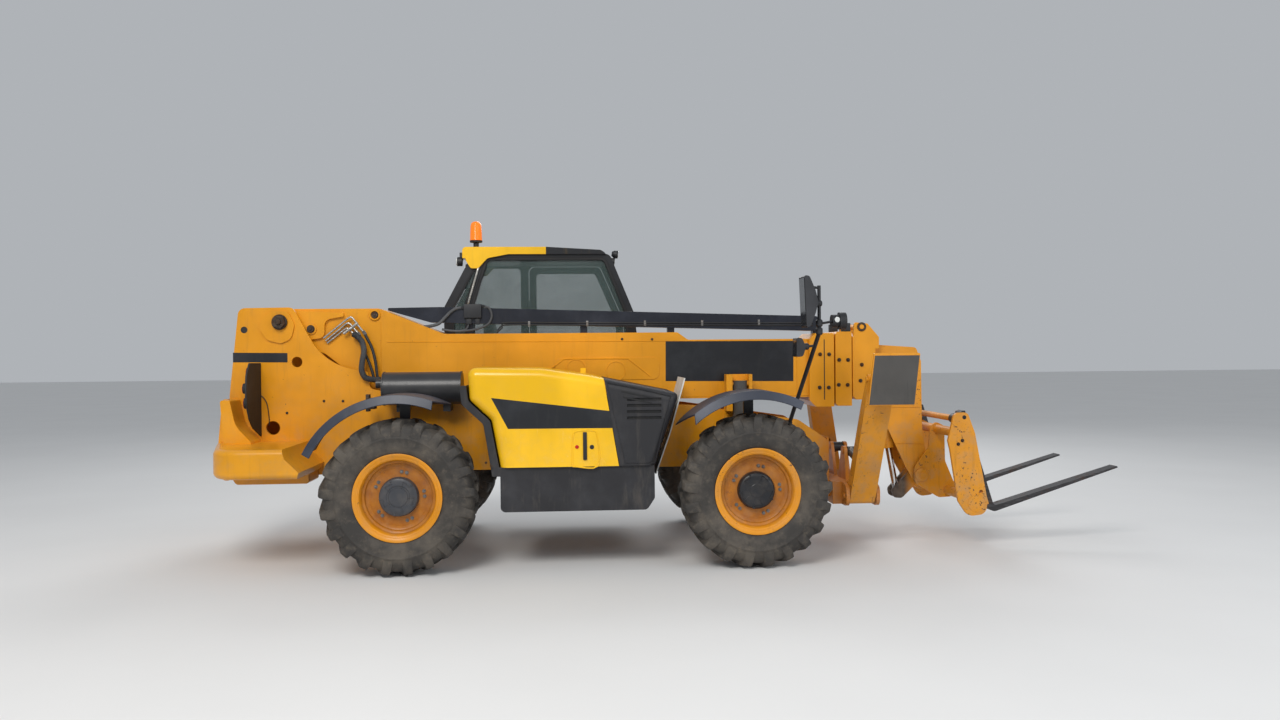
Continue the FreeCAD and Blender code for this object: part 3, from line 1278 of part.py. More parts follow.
def make_carrier():
    pin = rod(
        "tool_pin_bar", "Y", "tool_pivot_x", "0", "tool_pivot_z", "tool_pin",
        "-(cheek_inner + cheek_wall + 12)", "cheek_inner + cheek_wall + 12",
    )
    hub = rod(
        "lever_hub", "Y", "tool_pivot_x", "0", "tool_pivot_z", "tool_pin + 22",
        "-(nose_half - nose_wall - 6)", "nose_half - nose_wall - 6",
    )
    parts = [pin, hub]
    for side_name, side in sides:
        inner, outer = sorted((f"{side} * lever_inner", f"{side} * (lever_inner + lever_wall)"), key=value)
        parts.append(
            plate(
                "lever_" + side_name, "XZ", inner, outer,
                [
                    ("tilt_eye_x - 62", "tilt_eye_z + 20", "40"),
                    ("tool_pivot_x - 30", "tool_pivot_z + 62", "40"),
                    ("tool_pivot_x + 55", "tool_pivot_z + 30", "40"),
                    ("tool_pivot_x + 30", "tool_pivot_z - 60", "40"),
                    ("tilt_eye_x + 30", "tilt_eye_z - 56", "40"),
                    ("tilt_eye_x - 50", "tilt_eye_z - 50", "40"),
                ],
            )
        )
        inner, outer = sorted((f"{side} * cheek_inner", f"{side} * (cheek_inner + cheek_wall)"), key=value)
        parts.append(
            plate(
                "cheek_" + side_name, "XZ", inner, outer,
                [
                    ("tool_pivot_x - 66", "tool_pivot_z - 66", "60"),
                    ("tool_pivot_x - 66", "tool_pivot_z + 70", "60"),
                    ("tool_pivot_x + 64", "820", "60"),
                    ("tool_pivot_x + 84", "1010", "30"),
                    ("tool_pivot_x + 134", "1045", "40"),
                    ("tool_pivot_x + 209", "1010", "40"),
                    ("tool_pivot_x + 214", "700", "80"),
                    ("tool_pivot_x + 309", "470", "40"),
                    ("tool_pivot_x + 284", "380", "50"),
                    ("tool_pivot_x + 154", "375", "60"),
                ],
            )
        )
    tubes = (
        ("upper", "tool_pivot_x + 143", "983"),
        ("lower", "tool_pivot_x + 234", "440"),
    )
    for tube_name, x, z in tubes:
        parts.append(
            rod(
                "carrier_tube_" + tube_name, "Y", x, "0", z, "frame_tube", "-(frame_half - frame_wall)",
                "frame_half - frame_wall",
            )
        )
    node("tool_carrier", fuse("tool_carrier_whole", *parts))

    frame_parts = []
    for side_name, side in sides:
        inner, outer = sorted((f"{side} * (frame_half - frame_wall)", f"{side} * frame_half"), key=value)
        frame_parts.append(
            plate(
                "frame_side_" + side_name, "XZ", inner, outer,
                [
                    ("heel_x - 380", "914", "20"),
                    ("heel_x - 325", "1150", "50"),
                    ("heel_x - 208", "1150", "40"),
                    ("heel_x - 145", "975", "0"),
                    ("heel_x - 38", "392", "0"),
                    ("heel_x - 55", "287", "70"),
                    ("heel_x - 210", "270", "80"),
                    ("heel_x - 295", "400", "40"),
                    ("heel_x - 363", "840", "20"),
                ],
                holes=[("heel_x - 96", "475", "18")],
            )
        )
    shaft = rod(
        "fork_shaft", "Y", "-shaft_back", "0", "shaft_up", "shaft_radius", "-(frame_half - 4)", "frame_half - 4"
    )
    bar = box(
        "fork_rest", "-62", "-slide_gap", "-(frame_half - 4)", "frame_half - 4", "90", "200"
    )
    for item in (shaft, bar):
        frame_parts.append(tip(item))
    node("fork_frame", fuse("fork_frame_whole", *frame_parts))

    forks = []
    for side_name, side in sides:
        blade = plate(
            "fork_" + side_name, "XZ", f"{side} * fork_y - fork_half", f"{side} * fork_y + fork_half",
            [
                ("0", "0", "60"),
                ("fork_length", "fork_wall - fork_tip_wall - 4", "0"),
                ("fork_length", "fork_wall - 4", "0"),
                ("fork_length * 0.6", "fork_wall", "0"),
                ("fork_wall", "fork_wall", "30"),
                ("fork_wall - 6", "fork_height", "10"),
                ("0", "fork_height", "10"),
            ],
        )
        eye = rod(
            "fork_eye_" + side_name, "Y", "-shaft_back", "0", "shaft_up", "shaft_radius + 16",
            f"{side} * fork_y - fork_half", f"{side} * fork_y + fork_half",
        )
        link = box(
            "fork_link_" + side_name, "-shaft_back", "10", f"{side} * fork_y - fork_half",
            f"{side} * fork_y + fork_half", "shaft_up - shaft_radius - 14", "shaft_up + shaft_radius + 14",
        )
        hole = rod(
            "fork_hole_" + side_name, "Y", "-shaft_back", "0", "shaft_up", "shaft_radius + slide_gap",
            f"{side} * fork_y - fork_half - 5", f"{side} * fork_y + fork_half + 5",
        )
        forks.append(tip(cut("fork_cut_" + side_name, fuse("fork_raw_" + side_name, blade, eye, link), hole)))
    node("forks", *forks)


def tip(item):
    """Tip a piece of the carriage back and set its heel where the forks stand."""
    holder = doc.addObject("Part::Compound", item.Name + "_tipped")
    holder.Links = [item]
    return place(holder, "heel_x", "0", "heel_z", (0, 1, 0), "-carriage_tilt")


# Stabilisers: a box leg, a hinged foot plate and a ram on each side.

def make_stabilisers():
    for side_name, side in sides:
        foot = "leg_length"
        leg = plate(
            "leg_bar_" + side_name, "YZ", "leg_x - leg_half_x", "leg_x + leg_half_x",
            [
                ("-leg_half - 10", "-leg_half - 10", "50"),
                ("leg_half + 10", "-leg_half - 10", "50"),
                ("leg_half", f"{foot} - 260", "60"),
                ("leg_foot_half", f"{foot} - 60", "0"),
                ("leg_foot_half", f"{foot} + leg_foot_half", "25"),
                ("-leg_foot_half", f"{foot} + leg_foot_half", "25"),
                ("-leg_foot_half", f"{foot} - 60", "0"),
                ("-leg_half", f"{foot} - 260", "60"),
            ],
        )
        slot = box(
            "leg_slot_" + side_name, "leg_x - 60", "leg_x + 60", "-100", "100", f"{foot} - 60", f"{foot} + 80"
        )
        bores = [
            rod("leg_bore_" + side_name, "X", "0", "0", "0", "leg_pin + 0.05", "leg_x - 150", "leg_x + 150"),
            rod("foot_bore_" + side_name, "X", "0", "0", foot, "leg_pin - 8 + 0.05", "leg_x - 150", "leg_x + 150"),
        ]
        well_in, well_out = sorted((f"{side} * -120", f"{side} * (leg_half - 8)"), key=value)
        well = box(
            "leg_well_" + side_name, "leg_x - 48", "leg_x + 48", well_in, well_out, "-120", "stab_eye_up + 110"
        )
        stub = rod(
            "leg_stub_" + side_name, "X", "0", "0", "stab_eye_up", "stab_rod_radius", "leg_x - 60", "leg_x - 40"
        )
        twin = rod(
            "leg_stub_twin_" + side_name, "X", "0", "0", "stab_eye_up", "stab_rod_radius", "leg_x + 40", "leg_x + 60"
        )
        shaped = fuse("leg_shaped_" + side_name, cut("leg_open_" + side_name, leg, slot, well, *bores), stub, twin)
        holder = doc.addObject("Part::Compound", "leg_holder_" + side_name)
        holder.Links = [shaped]
        place(holder, "0", f"{side} * leg_y", "leg_z", (1, 0, 0), f"{-side} * leg_lean")
        node("stabiliser_leg_" + side_name, holder)

        foot_y = f"{side} * (leg_y + leg_length * sin(leg_lean))"
        foot_z = "leg_z + leg_length * cos(leg_lean)"
        near, far = sorted(
            (f"{foot_y} + {side} * pad_offset", f"{foot_y} + {side} * (pad_offset + pad_wall)"), key=value
        )
        pad = plate(
            "pad_plate_" + side_name, "XZ", near, far,
            [
                ("leg_x + 62 - pad_half_x", f"{foot_z} - pad_half_z", "12"),
                ("leg_x + 62 + pad_half_x", f"{foot_z} - pad_half_z", "12"),
                ("leg_x + 62 + pad_half_x + pad_rake", f"{foot_z} + pad_half_z", "12"),
                ("leg_x + 62 - pad_half_x + pad_rake", f"{foot_z} + pad_half_z", "12"),
            ],
        )
        near, far = sorted(
            (f"{foot_y} + {side} * (pad_offset - 26)", f"{foot_y} + {side} * (pad_offset + 4)"), key=value
        )
        flange = box(
            "pad_flange_" + side_name, "leg_x + 92 - pad_half_x + pad_rake", "leg_x + 32 + pad_half_x + pad_rake",
            near, far, f"{foot_z} + pad_half_z - 14", f"{foot_z} + pad_half_z",
        )
        near, far = sorted((f"{foot_y} - {side} * 30", f"{foot_y} + {side} * (pad_offset + 2)"), key=value)
        ear = box(
            "pad_ear_" + side_name, "leg_x - 54", "leg_x + 54", near, far, f"{foot_z} - 34", f"{foot_z} + 34"
        )
        pin = rod(
            "pad_pin_" + side_name, "X", "0", foot_y, foot_z, "leg_pin - 8",
            "leg_x - leg_half_x - 12", "leg_x + leg_half_x + 12",
        )
        node("stabiliser_pad_" + side_name, fuse("pad_whole_" + side_name, pad, flange, ear, pin))
        make_leg_ram(side_name, side)


def make_leg_ram(side_name, side):
    eye_y = f"{side} * (leg_y + stab_eye_up * sin(leg_lean))"
    eye_z = "leg_z + stab_eye_up * cos(leg_lean)"
    base_y = f"{side} * stab_base_y"
    reach = math.dist((value(base_y), value("stab_base_z")), (value(eye_y), value(eye_z)))
    along_y = (value(eye_y) - value(base_y)) / reach
    along_z = (value(eye_z) - value("stab_base_z")) / reach

    def at(distance):
        return ("leg_x", f"{base_y} + {along_y * distance:.6f}", f"stab_base_z + {along_z * distance:.6f}")

    length = value("stab_barrel_length")
    name = "stabiliser_ram_" + side_name
    case = strut(name + "_case", at(0), at(length), "stab_barrel_radius")
    eye = rod(name + "_eye", "X", "0", base_y, "stab_base_z", "stab_barrel_radius", "leg_x - 42", "leg_x + 42")
    pin_bore = rod(
        name + "_pin_bore", "X", "0", base_y, "stab_base_z", "stab_rod_radius + 0.05", "leg_x - 60", "leg_x + 60"
    )
    bore = strut(name + "_bore", at(34), at(length + 20), "stab_rod_radius + 0.05")
    node(name + "_barrel", cut(name + "_barrel_cut", fuse(name + "_barrel_raw", case, eye), pin_bore, bore))
    bar = strut(name + "_bar", at(reach - value("stab_rod_length")), at(reach), "stab_rod_radius")
    rod_eye = rod(name + "_rod_eye", "X", "0", eye_y, eye_z, "stab_rod_radius + 9", "leg_x - 36", "leg_x + 36")
    node(name + "_rod", fuse(name + "_rod_whole", bar, rod_eye))


# Engine bay on the right: hood, grille moulding, tray and the engine as one block.

def hood_outline(grow):
    """Side outline of the whole hood, shrunk by a wall."""
    return [
        (f"766 + {grow}", "hood_seat_z", "0"),
        (f"700 + {grow}", "1170", "60"),
        (f"535 + {grow}", "1325", "60"),
        (f"520 + {grow}", f"1576 - {grow}", "60"),
        ("hood_front_x - 1079", f"1566 - {grow}", "0"),
        ("hood_front_x - 717", f"1513 - {grow}", "0"),
        (f"hood_front_x - {grow}", f"1362 - {grow}", "40"),
        (f"hood_front_x - 197 - {grow}", "hood_seat_z", "0"),
    ]


def hood_shell(name):
    outer = plate(name + "_outer", "XZ", "-hood_outer", "-hood_inner", hood_outline("0"))
    doc.recompute()
    top = [
        f"Edge{index + 1}" for index, edge in enumerate(outer.Shape.Edges)
        if edge.BoundBox.YMax < -value("hood_outer") + 1 and edge.BoundBox.ZMax > value("hood_seat_z") + 1
        and abs(edge.BoundBox.YMin - edge.BoundBox.YMax) < 1
    ]
    rounding = outer.newObject("PartDesign::Fillet", name + "_edge")
    rounding.Base = (outer.Group[-2] if outer.Group[-1] is rounding else outer.Group[-1], top)
    bind(rounding, Radius="hood_edge")
    outer.Tip = rounding
    inner = [
        (across, "hood_seat_z - 5", *rest) if up == "hood_seat_z" else (across, up, *rest)
        for across, up, *rest in hood_outline("hood_wall")
    ]
    hollow = plate(name + "_hollow", "XZ", "-(hood_outer - hood_wall)", "-(hood_inner - 5)", inner)
    doc.recompute()
    edges = [
        f"Edge{index + 1}" for index, edge in enumerate(hollow.Shape.Edges)
        if edge.BoundBox.YMax < -value("hood_outer - hood_wall") + 1
        and edge.BoundBox.ZMax > value("hood_seat_z") + 1
    ]
    inner_round = hollow.newObject("PartDesign::Fillet", name + "_inner_edge")
    inner_round.Base = (hollow.Group[-2] if hollow.Group[-1] is inner_round else hollow.Group[-1], edges)
    bind(inner_round, Radius="hood_edge - hood_wall")
    hollow.Tip = inner_round
    return cut(name + "_shell", outer, hollow)


def make_engine_bay():
    split = [
        ("hood_split_x", "1700"),
        ("hood_split_x", "1489"),
        ("hood_split_x + 131", "700"),
        ("hood_front_x + 243", "700"),
        ("hood_front_x + 243", "1700"),
    ]
    front_half = plate("split_front", "XZ", "-1300", "-300", split)
    gap_line = plate(
        "split_gap", "XZ", "-1300", "-300",
        [(f"{across} - hood_gap" if index < 3 else across, up) for index, (across, up) in enumerate(split)],
    )
    shell = hood_shell("hood")
    ears = []
    bores = []
    for index, x in enumerate(("745", "hood_split_x - 174")):
        ring = rod(f"hood_ring_{index}", "X", "0", "-hinge_y", "hinge_z", "hinge_radius + 12", x, f"{x} + 45")
        link = box(
            f"hood_link_{index}", x, f"{x} + 45", "-hinge_y - 28", "-hinge_y + 12", "hinge_z", "hinge_z + 56"
        )
        ears += [ring, link]
        bores.append(
            rod(
                f"hood_bore_{index}", "X", "0", "-hinge_y", "hinge_z", "hinge_radius + 0.05", f"{x} - 5", f"{x} + 50"
            )
        )
    hooded = fuse("engine_hood_raw", cut("hood_split", shell, gap_line), *ears)
    node("engine_hood", cut("engine_hood_cut", hooded, *bores))
    grille = doc.addObject("Part::Common", "hood_grille_common")
    grille.Base = hood_shell("grille")
    grille.Tool = front_half
    louvres = []
    for row, (z_low, drop) in enumerate((("1310", 0), ("1262", 0), ("1214", 0), ("1166", 0))):
        louvres.append(
            box(
                f"louvre_{row}", "hood_front_x - 412", "hood_front_x - 147", "-1300", "-hood_outer + hood_wall + 4",
                z_low, f"{z_low} + 22",
            )
        )
    for column in range(7):
        louvres.append(
            box(
                f"grille_slot_{column}", "hood_front_x - 217", "hood_front_x + 143", f"-1060 + {column} * 85", f"-1010 + {column} * 85",
                "940", "1250",
            )
        )
    slotted = cut("hood_grille_cut", grille, *louvres)
    node("hood_grille", slotted)

    tray_outline = [
        ("tray_rear_x", "tray_top", "0"),
        ("tray_rear_x", "tray_bottom", "40"),
        ("tray_front_x - 60", "tray_bottom", "40"),
        ("tray_front_x", "tray_bottom + 90", "30"),
        ("tray_front_x", "tray_top", "0"),
    ]
    tray_hollow = [
        ("tray_rear_x + tray_wall", "tray_top + 5", "0"),
        ("tray_rear_x + tray_wall", "tray_bottom + tray_wall", "0"),
        ("tray_front_x - 66", "tray_bottom + tray_wall", "0"),
        ("tray_front_x - tray_wall", "tray_bottom + 96", "0"),
        ("tray_front_x - tray_wall", "tray_top + 5", "0"),
    ]
    outer = plate("tray_outer_shape", "XZ", "-tray_outer", "-(plate_inner + plate_wall + 70)", tray_outline)
    hollow = plate(
        "tray_hollow_shape", "XZ", "-(tray_outer - tray_wall)", "-(plate_inner + plate_wall + 60)", tray_hollow
    )
    lip = plate(
        "arch_lip", "XZ", "-tray_outer", "-(tray_outer - 10)",
        [
            ("tray_rear_x + 6", "tray_top - 70", "0"),
            ("tray_rear_x + 6", "tray_top", "0"),
            ("tray_rear_x - 8", "tray_top", "0"),
            ("692", "1168", "60"),
            ("527", "1322", "60"),
            ("512", "1440", "0"),
            ("460", "1440", "20"),
            ("475", "1296", "60"),
            ("640", "1142", "60"),
            ("tray_rear_x - 62", "tray_top - 70", "0"),
        ],
    )
    sheet_metal = plate(
        "arch_sheet", "XZ", "-tray_outer", "-hood_inner",
        [
            ("tray_rear_x + 6", "tray_top - 70", "0"),
            ("tray_rear_x + 6", "tray_top", "0"),
            ("tray_rear_x - 8", "tray_top", "0"),
            ("692", "1168", "60"),
            ("527", "1322", "60"),
            ("512", "1440", "0"),
            ("506", "1440", "0"),
            ("521", "1319", "60"),
            ("686", "1165", "60"),
            ("tray_rear_x - 14", "tray_top - 70", "0"),
        ],
    )
    node("engine_tray", fuse("tray_whole", cut("tray_cut", outer, hollow), lip, sheet_metal))
    node(
        "engine_block",
        box("engine_mass", "engine_x0", "engine_x1", "engine_y0", "engine_y1", "engine_z0", "engine_z1"),
    )
    guard = plate(
        "splash_sheet", "XZ", "-780", "-(plate_inner + plate_wall)",
        [
            ("wheelbase - 760", "700", "0"),
            ("wheelbase - 751", "700", "0"),
            ("wheelbase - 630", "1040", "300"),
            ("wheelbase - 510", "1470", "0"),
            ("wheelbase - 520", "1474", "0"),
            ("wheelbase - 639", "1044", "300"),
        ],
    )
    node("splash_guard", guard)

    case = rod("silencer_case", "X", "0", "silencer_y", "silencer_z", "silencer_radius", "silencer_x0", "silencer_x1")
    flanges = [
        rod(f"silencer_rim_{index}", "X", "0", "silencer_y", "silencer_z", "silencer_radius + 5", x, f"{x} + 12")
        for index, x in enumerate(("silencer_x0", "silencer_x1 - 12"))
    ]
    brackets = [
        box(
            f"silencer_bracket_{index}", x, f"{x} + 60", "silencer_y", "-(plate_inner + plate_wall)",
            "rail_top_z - 20", "rail_top_z + 50",
        )
        for index, x in enumerate(("-120", "260"))
    ]
    outlet = rod(
        "silencer_outlet", "X", "0", "silencer_y", "silencer_z + 40", "38", "silencer_x0 - 60", "silencer_x0 + 5"
    )
    node("silencer", fuse("silencer_whole", case, *flanges, *brackets, outlet))


# Cab on the left: a hollow frame with its windows and doorway cut, roof, panes, seat and controls.

cab_outline = [
    ("cab_rear_x + 10", "waist_z + 20", "40"),
    ("cab_rear_x", "brow_z + 54", "80"),
    ("cab_rear_x + 262", "cab_top_z", "70"),
    ("cab_front_x - 312", "cab_top_z", "60"),
    ("cab_front_x - 90", "brow_z", "150"),
    ("cab_front_x", "1300", "100"),
    ("cab_front_x - 30", "cab_floor_z", "40"),
    ("760", "cab_floor_z", "40"),
    ("720", "1000", "30"),
    ("500", "1420", "40"),
]

# step of each corner towards the middle when the wall is taken off
cab_steps = [(1, 1), (1, 0), (0.8, -1), (-0.6, -1), (-1.1, -0.2), (-1, 0), (-1, 1), (1, 1), (1, 0.2), (1, 1)]

right_window = [
    ("cab_rear_x + 262", "1560", "window_round", 1, 1),
    ("cab_rear_x + 266", "brow_z + 100", "window_round", 1, 0),
    ("cab_rear_x + 390", "window_top_z", "70", 1, -1),
    ("cab_front_x - 358", "window_top_z", "70", -0.6, -1),
    ("cab_front_x - 165", "brow_z + 10", "window_round", -1.1, -0.2),
    ("cab_front_x - 122", "waist_z", "window_round", -1, 1),
    ("760", "waist_z", "window_round", 0.4, 1),
]

right_quarter = [
    ("cab_rear_x + 92", "1620", "20", 1, 1),
    ("cab_rear_x + 82", "brow_z + 50", "40", 1, 0),
    ("cab_rear_x + 268", "cab_top_z - 155", "14", 0.5, -1),
    ("cab_rear_x + 306", "cab_top_z - 140", "14", -1, -0.5),
    ("cab_rear_x + 202", "brow_z + 100", "40", -1, 0),
    ("cab_rear_x + 198", "1580", "20", -1, 1),
]

rear_quarter = [
    ("cab_rear_x + 92", "1640", "window_round", 1, 1),
    ("cab_rear_x + 82", "brow_z + 54", "window_round", 1, 0),
    ("cab_rear_x + 318", "window_top_z", "window_round", 0.8, -1),
    ("door_hinge_x - 65", "window_top_z", "window_round", -1, -1),
    ("door_hinge_x - 65", "1560", "window_round", -1, 1),
]

doorway = [
    ("door_hinge_x", "cab_floor_z + 60", "40", 1, 1),
    ("door_hinge_x", "window_top_z", "window_round", 1, -1),
    ("cab_front_x - 375", "window_top_z", "window_round", -0.6, -1),
    ("cab_front_x - 155", "brow_z - 10", "window_round", -1.1, -0.2),
    ("cab_front_x - 75", "1300", "window_round", -1, 0),
    ("cab_front_x - 95", "cab_floor_z + 60", "40", -1, 1),
]

door_window = [
    ("door_hinge_x + 60", "cab_floor_z + 260", "window_round", 1, 1),
    ("door_hinge_x + 60", "window_top_z - 55", "window_round", 1, -1),
    ("cab_front_x - 415", "window_top_z - 55", "window_round", -0.6, -1),
    ("cab_front_x - 217", "brow_z - 10", "window_round", -1.1, -0.2),
    ("cab_front_x - 140", "1300", "window_round", -1, 0),
    ("cab_front_x - 152", "cab_floor_z + 260", "window_round", -1, 1),
]


def inset(loop, step):
    """The loop with each corner moved towards its middle by a step."""
    return [
        (f"{across} + {along} * ({step})", f"{up} + {rise} * ({step})", radius)
        for across, up, radius, along, rise in loop
    ]


def make_cab():
    outer = plate("cab_outer_shape", "XZ", "cab_inner_y", "cab_outer_y", cab_outline)
    hollow_loop = [
        (f"{across} + {along} * cab_wall", f"{up} + {rise} * cab_wall", "20")
        for (across, up, radius), (along, rise) in zip(cab_outline, cab_steps)
    ]
    hollow = plate("cab_hollow_shape", "XZ", "cab_inner_y + cab_wall", "cab_outer_y - cab_wall", hollow_loop)
    cuts = [
        hollow,
        plate("cut_right_window", "XZ", "cab_inner_y - 5", "cab_inner_y + cab_wall + 5", inset(right_window, "0")),
        plate("cut_right_quarter", "XZ", "cab_inner_y - 5", "cab_inner_y + cab_wall + 5", inset(right_quarter, "0")),
        plate("cut_rear_quarter", "XZ", "cab_outer_y - cab_wall - 5", "cab_outer_y + 5", inset(rear_quarter, "0")),
        plate("cut_doorway", "XZ", "cab_outer_y - cab_wall - 5", "cab_outer_y + 5", inset(doorway, "0")),
        box(
            "cut_rear_window", "cab_rear_x - 70", "cab_rear_x + 230", "cab_inner_y + 90", "cab_outer_y - 90", "1660",
            "rear_window_z",
        ),
        plate(
            "cut_windscreen", "XZ", "cab_inner_y + 80", "cab_outer_y - 80",
            [
                ("cab_front_x - 190", "980"),
                ("cab_front_x + 70", "980"),
                ("cab_front_x + 70", "brow_z + 10"),
                ("cab_front_x - 225", "cab_top_z - 88"),
                ("cab_front_x - 390", "cab_top_z - 88"),
                ("cab_front_x - 390", "1400"),
            ],
        ),
    ]
    hinges = []
    for index, z in enumerate(("1150", "cab_top_z - 440")):
        hinges.append(
            box(
                f"door_bracket_{index}", "door_hinge_x - 60", "door_hinge_x", "cab_outer_y",
                "door_pin_y + door_pin_radius", f"{z} - 60", f"{z} - 20",
            )
        )
        hinges.append(
            rod(
                f"door_pin_{index}", "Z", "door_hinge_x", "door_pin_y", "0", "door_pin_radius", f"{z} - 60",
                f"{z} + 60",
            )
        )
    node("cab_frame", fuse("cab_frame_whole", cut("cab_frame_cut", outer, *cuts), *hinges))
    mid = "cab_wall / 2 - pane_wall / 2"
    panes = [
        plate(
            "pane_right", "XZ", f"cab_inner_y + {mid}", f"cab_inner_y + {mid} + pane_wall",
            inset(right_window, "pane_gap"),
        ),
        plate(
            "pane_right_quarter", "XZ", f"cab_inner_y + {mid}", f"cab_inner_y + {mid} + pane_wall",
            inset(right_quarter, "pane_gap"),
        ),
        plate(
            "pane_quarter", "XZ", f"cab_outer_y - {mid} - pane_wall", f"cab_outer_y - ({mid})",
            inset(rear_quarter, "pane_gap"),
        ),
        plate(
            "pane_front", "XZ", "cab_inner_y + 80 + pane_gap", "cab_outer_y - 80 - pane_gap",
            [
                ("cab_front_x - 33", "980 + pane_gap"),
                ("cab_front_x - 16", "1300"),
                ("cab_front_x - 106", "brow_z"),
                ("cab_front_x - 293", "cab_top_z - 88 - pane_gap"),
                ("cab_front_x - 300", "cab_top_z - 88 - pane_gap"),
                ("cab_front_x - 113", "brow_z - 2"),
                ("cab_front_x - 22", "1300"),
                ("cab_front_x - 39", "980 + pane_gap"),
            ],
        ),
        plate(
            "pane_rear", "XZ", "cab_inner_y + 90 + pane_gap", "cab_outer_y - 90 - pane_gap",
            [
                ("cab_rear_x + 22", "1660 + pane_gap"),
                ("cab_rear_x + 17", "brow_z + 58"),
                ("cab_rear_x + 138", "rear_window_z - pane_gap"),
                ("cab_rear_x + 145", "rear_window_z - pane_gap"),
                ("cab_rear_x + 24", "brow_z + 57"),
                ("cab_rear_x + 29", "1660 + pane_gap"),
            ],
        ),
    ]
    node("cab_windows", *panes)

    door_y0 = "cab_outer_y - cab_wall + 2"
    door = plate("door_shape", "XZ", door_y0, "cab_outer_y", inset(doorway, "door_gap"), inset(door_window, "0"))
    leaves = []
    bores = []
    for index, z in enumerate(("1150", "cab_top_z - 440")):
        ring = rod(
            f"door_ring_{index}", "Z", "door_hinge_x", "door_pin_y", "0", "door_pin_radius + 7",
            f"{z} - 19.7", f"{z} + 45",
        )
        leaf = box(
            f"door_leaf_{index}", "door_hinge_x", "door_hinge_x + 58", "cab_outer_y",
            "door_pin_y + door_pin_radius", f"{z} - 19.7", f"{z} + 45",
        )
        clear = box(
            f"door_clear_{index}", "door_hinge_x - 20", "door_hinge_x + 6", "cab_outer_y - 5", "cab_outer_y + 1",
            f"{z} - 30", f"{z} + 60",
        )
        leaves.append(cut(f"door_hinge_{index}", fuse(f"door_hinge_raw_{index}", ring, leaf), clear))
        bores.append(
            rod(
                f"door_bore_{index}", "Z", "door_hinge_x", "door_pin_y", "0", "door_pin_radius + 0.05",
                f"{z} - 30", f"{z} + 60",
            )
        )
    node("door_frame", cut("door_bored", fuse("door_whole", door, *leaves), *bores))
    node(
        "door_window",
        plate(
            "door_pane", "XZ", f"{door_y0} + {mid}", f"{door_y0} + {mid} + pane_wall", inset(door_window, "pane_gap")
        ),
    )

    roof = plate(
        "roof_shape", "XZ", "cab_inner_y - roof_overhang", "cab_outer_y + roof_overhang",
        [
            ("cab_rear_x + 174", "cab_top_z - 40", "8"),
            ("cab_rear_x + 174", "cab_top_z + roof_wall", "35"),
            ("cab_front_x - 890", "cab_top_z + roof_wall", "0"),
            ("cab_front_x - 392", "cab_top_z + 34", "60"),
            ("cab_front_x - 342", "cab_top_z", "6"),
            ("cab_rear_x + 268", "cab_top_z", "0"),
            ("cab_rear_x + 196", "cab_top_z - 40", "8"),
        ],
    )
    brows = []
    for side_name, near, far in (
        ("right", "cab_inner_y - roof_overhang", "cab_inner_y - slide_gap"),
        ("left", "cab_outer_y + slide_gap", "cab_outer_y + roof_overhang"),
    ):
        brows.append(
            plate(
                "roof_brow_" + side_name, "XZ", near, far,
                [
                    ("cab_rear_x + 176", "cab_top_z + 40", "20"),
                    ("cab_rear_x + 212", "cab_top_z - 75", "30"),
                    ("cab_rear_x + 250", "cab_top_z - 132", "20"),
                    ("cab_rear_x + 316", "cab_top_z - 132", "30"),
                    ("cab_rear_x + 400", "cab_top_z - 40", "60"),
                    ("cab_rear_x + 590", "cab_top_z - 4", "0"),
                    ("cab_front_x - 345", "cab_top_z - 4", "0"),
                    ("cab_front_x - 360", "cab_top_z + 10", "0"),
                    ("cab_rear_x + 590", "cab_top_z + 40", "0"),
                ],
            )
        )
    node("cab_roof", fuse("roof_whole", roof, *brows))
    beacon = turned(
        "beacon_shape",
        [
            ("0", "0"),
            ("0", "beacon_radius * 0.75"),
            ("24", "beacon_radius * 0.75"),
            ("30", "26"),
            ("80", "26"),
            ("88", "beacon_radius"),
            ("beacon_height - 26", "beacon_radius - 5"),
            ("beacon_height", "beacon_radius * 0.45"),
            ("beacon_height", "0"),
        ],
    )
    place(beacon, "beacon_x", "beacon_y", "cab_top_z + roof_wall + slide_gap", (1, 0, 0), "90")
    node("beacon", beacon)

    seat_y = "(cab_inner_y + cab_outer_y) / 2"
    seat = fuse(
        "seat_whole",
        box("seat_base", "760", "1010", f"{seat_y} - 170", f"{seat_y} + 170", "cab_floor_z + cab_wall + 210", "1330"),
        box("seat_cushion", "615", "1090", f"{seat_y} - 240", f"{seat_y} + 240", "1330", "1450"),
        plate(
            "seat_back", "XZ", f"{seat_y} - 230", f"{seat_y} + 230",
            [
                ("560", "1430", "30"),
                ("700", "1430", "30"),
                ("600", "brow_z + 30", "40"),
                ("480", "brow_z + 40", "40"),
            ],
        ),
    )
    node("driver_seat", seat)
    floor_z = "cab_floor_z + cab_wall"
    wall_y = "cab_inner_y + cab_wall"
    column_x = "cab_front_x - 380"
    console = fuse(
        "console_whole",
        box("seat_plinth", "750", "1050", wall_y, "cab_outer_y - cab_wall", f"{floor_z} + 160", f"{floor_z} + 210"),
        box("plinth_face", "1010", "1050", wall_y, "cab_outer_y - cab_wall", floor_z, f"{floor_z} + 200"),
        box("side_console", "760", "1240", wall_y, f"{wall_y} + 120", f"{floor_z} + 200", "1560"),
        box(
            "column_foot", "cab_front_x - 430", "cab_front_x - 290", f"{seat_y} - 90", f"{seat_y} + 90", floor_z,
            "1250",
        ),
        strut("steering_column", (column_x, seat_y, "1200"), (f"{column_x} - 165", seat_y, "1600"), "45"),
        box("dash", "cab_front_x - 410", "cab_front_x - 230", f"{seat_y} - 230", f"{seat_y} + 230", "1240", "1540"),
    )
    wheel = doc.addObject("Part::Torus", "steering_rim")
    bind(wheel, Radius1="185", Radius2="15")
    lean = math.degrees(math.atan2(-165, 400))
